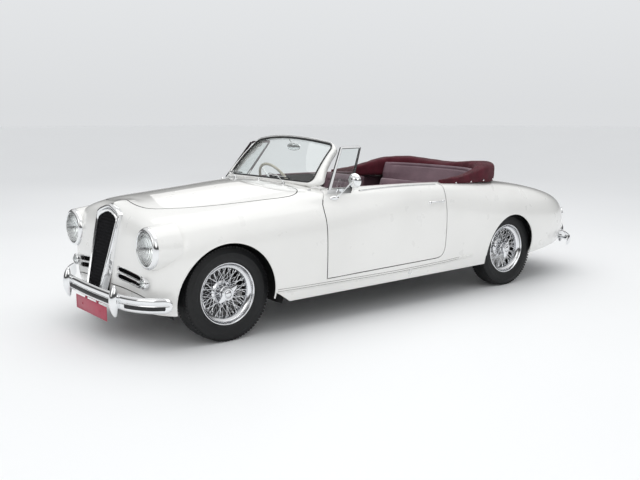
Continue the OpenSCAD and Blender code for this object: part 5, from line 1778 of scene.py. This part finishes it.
def steering_wheel():
    """Thin ivory rim with finger grips, three sprung spokes, chrome horn ring and a plain centre button."""
    bm = bmesh.new()
    r = 0.203

    def rim(s, t):
        a, b = TAU * s, TAU * t
        grip = 0.0115 + 0.0010 * math.cos(a * 60) * max(0.0, -math.cos(b)) * (1 if math.sin(b) < 0.6 else 0)
        return Vector(((r + grip * math.cos(b)) * math.cos(a), (r + grip * math.cos(b)) * math.sin(a),
                       grip * math.sin(b)))
    patch(bm, rim, 240, 14, closed=True)
    lathe(bm, [(0.0, 0.0), (0.036, -0.004), (0.040, -0.020), (0.034, -0.040), (0, -0.042)], None, 48)
    bmesh.ops.transform(bm, matrix=WHEEL_TURN, verts=bm.verts)
    piece("steering_rim", bm, "steering_wheel", IVORY_PLASTIC, ("steering_wheel",))
    bm = bmesh.new()
    for a in (90, 210, 330):
        turn = Matrix.Rotation(math.radians(a), 3, "Z")
        for dy in (-0.010, 0.0, 0.010):
            near, far = Vector((0.030, dy * 0.8, -0.016)), Vector((r - 0.008, dy * 1.5, -0.002))
            rod(bm, turn @ near, turn @ far, 0.0026, 8)
    lathe(bm, [(0, 0.004), (0.014, 0.003), (0.020, -0.001), (0.022, -0.004), (0.0, -0.004)], None, 48)
    turns = np.linspace(0, TAU, 72, endpoint=False)
    ring = [(0.115 * math.cos(a), 0.115 * math.sin(a), -0.004) for a in turns]
    pipe(bm, ring, 0.003, cyclic=True)
    rod(bm, Vector((0, 0, -0.435)), Vector((0, 0, -0.040)), 0.015, 32)
    lathe(bm, [(0.016, -0.30), (0.024, -0.29), (0.024, -0.10), (0.030, -0.09), (0.030, -0.045),
               (0.016, -0.040)],
          None, 40, closed=True)
    clean(bm)
    bmesh.ops.transform(bm, matrix=WHEEL_TURN, verts=bm.verts)
    piece("steering_column", bm, "steering_wheel", CHROME)
    # column gear lever and its knob, fixed to the car
    bm = bmesh.new()
    root = WHEEL_TURN @ Vector((0, 0.024, -0.15))
    tip = WHEEL_TURN @ Vector((0.02, 0.150, -0.10))
    pipe(bm, curve_through([root, root.lerp(tip, 0.5) + Vector((-0.01, 0, 0)), tip], 6), 0.0042)
    n = len(bm.faces)
    lathe(bm, [(0, -0.010), (0.008, -0.008), (0.011, 0), (0.008, 0.009), (0, 0.011)],
          facing(tip, tip - root), 24)
    painted(bm, n, 1)
    piece("gear_lever", bm, "body", [CHROME, IVORY_PLASTIC])
    bm = bmesh.new()
    for y in (-0.270, -0.372, -0.480):
        slab(bm, (0.845, y - 0.030, 0.335), (0.857, y + 0.030, 0.400), 0.004)
        rod(bm, Vector((0.857, y, 0.37)), Vector((0.938, y, 0.45)), 0.007, 12)
    piece("pedals", bm, "body", RUBBER)


# ---------------------------------------------------------------- folded top under its cloth cover
# Rows from a front tip round to the middle of the back, in millimetres and degrees:
# (x, y, height of the top, half width, direction of the width in plan, height of the hem).
COVER = [(-330, 697, 992, 16, 90, 958), (-470, 694, 1003, 28, 90, 952), (-620, 688, 1020, 42, 90, 948),
         (-760, 672, 1047, 56, 86, 944), (-884, 648, 1076, 72, 76, 938), (-998, 588, 1094, 92, 56, 930),
         (-1084, 478, 1104, 100, 38, 924), (-1136, 325, 1096, 102, 22, 918), (-1158, 160, 1080, 103, 10, 915),
         (-1162, 0, 1070, 103, 0, 914)]


def cover_point(s, t):
    """Surface of the cover: s from one front tip round the back to the other, t round the bundle."""
    half = 1 - abs(2 * s - 1)
    side = 1 if s < 0.5 else -1
    k = half * (len(COVER) - 1)
    i = min(int(k), len(COVER) - 2)
    f = k - i
    row = []
    for c in range(6):
        p0, p1, p2, p3 = (COVER[max(0, min(len(COVER) - 1, i + j))][c] for j in (-1, 0, 1, 2))
        # sideways values change sign past the middle of the car
        if c in (1, 4) and i == len(COVER) - 2:
            p3 = -COVER[-2][c]
        row.append(catmull_rom(p0, p1, p2, p3, f))
    x, y, top, w, turn, hem = row
    b = TAU * t
    c0, s0 = math.cos(b), math.sin(b)
    hem -= (hem - 914) * min(1.0, max(0.0, -1.6 * c0))
    a = math.radians(turn)
    out = Vector((-math.cos(a), math.sin(a), 0))
    tall = top - hem
    # section between an ellipse and a box
    fx = math.copysign(abs(c0) ** 0.5, c0) * w * (1.02 if c0 < 0 else 1)
    fz = (math.copysign(abs(s0) ** 0.5, s0) * 0.5 + 0.5) * tall
    length = half * 2.4
    fold = 0.0014 * math.sin(length * 13 + 2.2 * math.sin(b * 2 + 1.1))
    fold += 0.0010 * math.sin(length * 27 + 3 * c0)
    fold += 0.0038 * math.sin(b * 2 + 1.6 * math.sin(length * 4.1) + 0.6) * (0.4 + 0.6 * half)
    fold *= min(1.0, half * 7) * (0.35 if s0 < -0.4 else 1.0)
    p = Vector((x, y, hem)) + out * fx + Vector((0, 0, fz))
    p = p / 1000 + (out * c0 + Vector((0, 0, s0))) * fold
    return Vector((p.x, p.y * side, p.z))


def cover():
    """Cloth bundle behind the cockpit, with its bound hem and a row of studs along the outer edge."""
    bm = bmesh.new()
    patch(bm, cover_point, 320, 72, closed=True)
    close_ends(bm)
    ob = piece("hood_cover", bm, "body", BURGUNDY, ("top_cover",), sharp=0)
    studs = bmesh.new()
    for side in (0, 1):
        for k in range(1, 8):
            s = abs(side - 0.5 * k / 7.5)
            q = cover_point(s, 0.925)
            n = (cover_point(s, 0.93) - cover_point(s, 0.92)).cross(
                cover_point(min(1, s + 0.01), 0.925) - cover_point(max(0, s - 0.01), 0.925)).normalized()
            if n.dot(q - Vector((-0.6, 0, q.z))) < 0:
                n = -n
            lathe(studs, [(0.0075, -0.002), (0.0075, 0.001), (0.005, 0.0035), (0, 0.004)],
                  facing(q + n * 0.001, n), 20)
    piece("cover_studs", studs, "body", CHROME)
    bm = bmesh.new()
    pipe(bm, [cover_point(s, 0.885) for s in np.linspace(0.02, 0.98, 240)], 0.0045)
    piece("cover_binding", bm, "body", BURGUNDY)


# ---------------------------------------------------------------- what shows from below
def chassis_details():
    """Finishes of the frame's own nodes, cast ribs, the painted bulkhead and the track rod."""
    kept = ((UNDERSEAL, ("floor_pan", "rear_floor", "sill_left", "sill_right")),
            (CHASSIS_AND_CREASE_SHADE, ("front_axle", "knuckle_left", "knuckle_right", "rear_axle", "fuel_tank")),
            (PIPE, ("exhaust",)), (CAST, ("engine_block", "transaxle")))
    for finish, names in kept:
        for name in names:
            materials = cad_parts[name].data.materials
            materials.clear()
            materials.append(finish.mat)
    bm = bmesh.new()
    for z in (0.40, 0.46, 0.52):
        slab(bm, (0.99, -0.24, z), (1.67, 0.24, z + 0.012), 0.004)
    for k in range(9):
        slab(bm, (-0.95 - 0.05 * k, -0.173, 0.26), (-0.965 - 0.05 * k, 0.173, 0.40), 0.004)
    piece("casting_ribs", bm, "body", CAST)
    # bulkhead between engine and cabin, its top edge just under the cowl
    bm = bmesh.new()
    x, half, foot = 0.9455, 0.6395, 0.262
    crest = [(x, y, BODY.top(0.946, y)[0].z - 0.022) for y in np.linspace(half, -half, 29)]
    prism(bm, [(x, -half, foot), (x, half, foot)] + crest, (0.0065, 0, 0))
    outward(bm)
    piece("bulkhead", bm, "body", IVORY)
    bm = bmesh.new()
    rod(bm, Vector((1.50, -0.40, 0.315)), Vector((1.50, 0.40, 0.315)), 0.010, 16)
    for s in (1, -1):
        rod(bm, Vector((1.50, s * 0.34, 0.30)), Vector((1.50, s * 0.34, 0.45)), 0.022, 20)
    piece("track_rod", bm, "body", CHASSIS_AND_CREASE_SHADE)


# ---------------------------------------------------------------- studio
def studio():
    """Pale floor, soft lights, and a background that is darker where it shows in the paint and chrome."""
    bm = bmesh.new()
    bmesh.ops.create_circle(bm, cap_ends=True, segments=96, radius=60)
    floor = linked("floor", mesh_from("floor", bm))
    ground = Finish("studio_floor", (0.90, 0.905, 0.91), 0.55)
    ground.vary(ground.noise(0.6, 3), 0.45, 0.60)
    floor.data.materials.append(ground.mat)

    world = bpy.data.worlds.new("studio")
    SCENE.world = world
    world.use_nodes = True
    tree = world.node_tree
    back = tree.nodes["Background"]
    dim = tree.nodes.new("ShaderNodeBackground")
    spot = tree.nodes.new("ShaderNodeTexCoord")
    split = tree.nodes.new("ShaderNodeSeparateXYZ")
    tree.links.new(spot.outputs["Generated"], split.inputs[0])
    # room seen in the paint and chrome: pale floor, dark walls, bright ceiling
    room = [(0.0, 0.45), (0.05, 0.07), (0.22, 0.12), (0.36, 0.75), (0.60, 1.0)]
    seen = color_ramp(tree, split.outputs["Z"], [(at, (v, v, v)) for at, v in room])
    tree.links.new(seen, dim.inputs["Color"])
    dim.inputs["Strength"].default_value = 0.85
    light = tree.nodes.new("ShaderNodeLightPath")
    mix = tree.nodes.new("ShaderNodeMixShader")
    tree.links.new(light.outputs["Is Glossy Ray"], mix.inputs["Fac"])
    tree.links.new(back.outputs[0], mix.inputs[1])
    tree.links.new(dim.outputs[0], mix.inputs[2])
    haze = color_ramp(tree, split.outputs["Z"], [(0.0, (0.715, 0.728, 0.742)), (0.22, (0.82, 0.835, 0.85))])
    tree.links.new(haze, back.inputs["Color"])
    tree.links.new(mix.outputs[0], tree.nodes["World Output"].inputs["Surface"])

    for name, spot, size, watts, aim in (
            ("ceiling_softbox", (0, 0, 6.0), 7.0, 150, (0, 0, 0)),
            ("near_softbox", (4.5, 7.5, 4.2), 4.0, 55, (0, 0, 0.5)),
            ("nose_softbox", (9.0, 0.5, 3.2), 4.0, 40, (0, 0, 0.5)),
            ("far_softbox", (-4.0, -8.0, 4.5), 4.0, 40, (0, 0, 0.5))):
        lamp = bpy.data.lights.new(name, "AREA")
        lamp.energy, lamp.size = watts, size
        lamp.color = (1.0, 0.99, 0.97)
        ob = linked(name, lamp)
        ob.location = spot
        ob.rotation_euler = (Vector(aim) - Vector(spot)).to_track_quat("-Z", "Y").to_euler()

    data = bpy.data.cameras.new("camera")
    data.lens, data.sensor_width = 45.85, 36.0
    data.clip_end = 200
    cam = linked("camera", data)
    cam.location = (4.57343, 5.32268, 1.59107)
    yaw, pitch = math.radians(231.6917), math.radians(-9.35991)
    way = Vector((math.cos(yaw) * math.cos(pitch), math.sin(yaw) * math.cos(pitch), math.sin(pitch)))
    cam.rotation_euler = way.to_track_quat("-Z", "Y").to_euler()
    SCENE.camera = cam
    SCENE.view_settings.view_transform = "Standard"


# ---------------------------------------------------------------- assembly
studio()
body_shell()
lids()
seams()
doors()
body_trim()
slot_trim()
wheelhouses()
wheels()
grille()
round_lamps()
bumpers()
plates()
windscreen()
wipers()
quarter_lights()
door_fittings()
seats()
cabin_trim()
door_cards()
dashboard()
steering_wheel()
cover()
chassis_details()
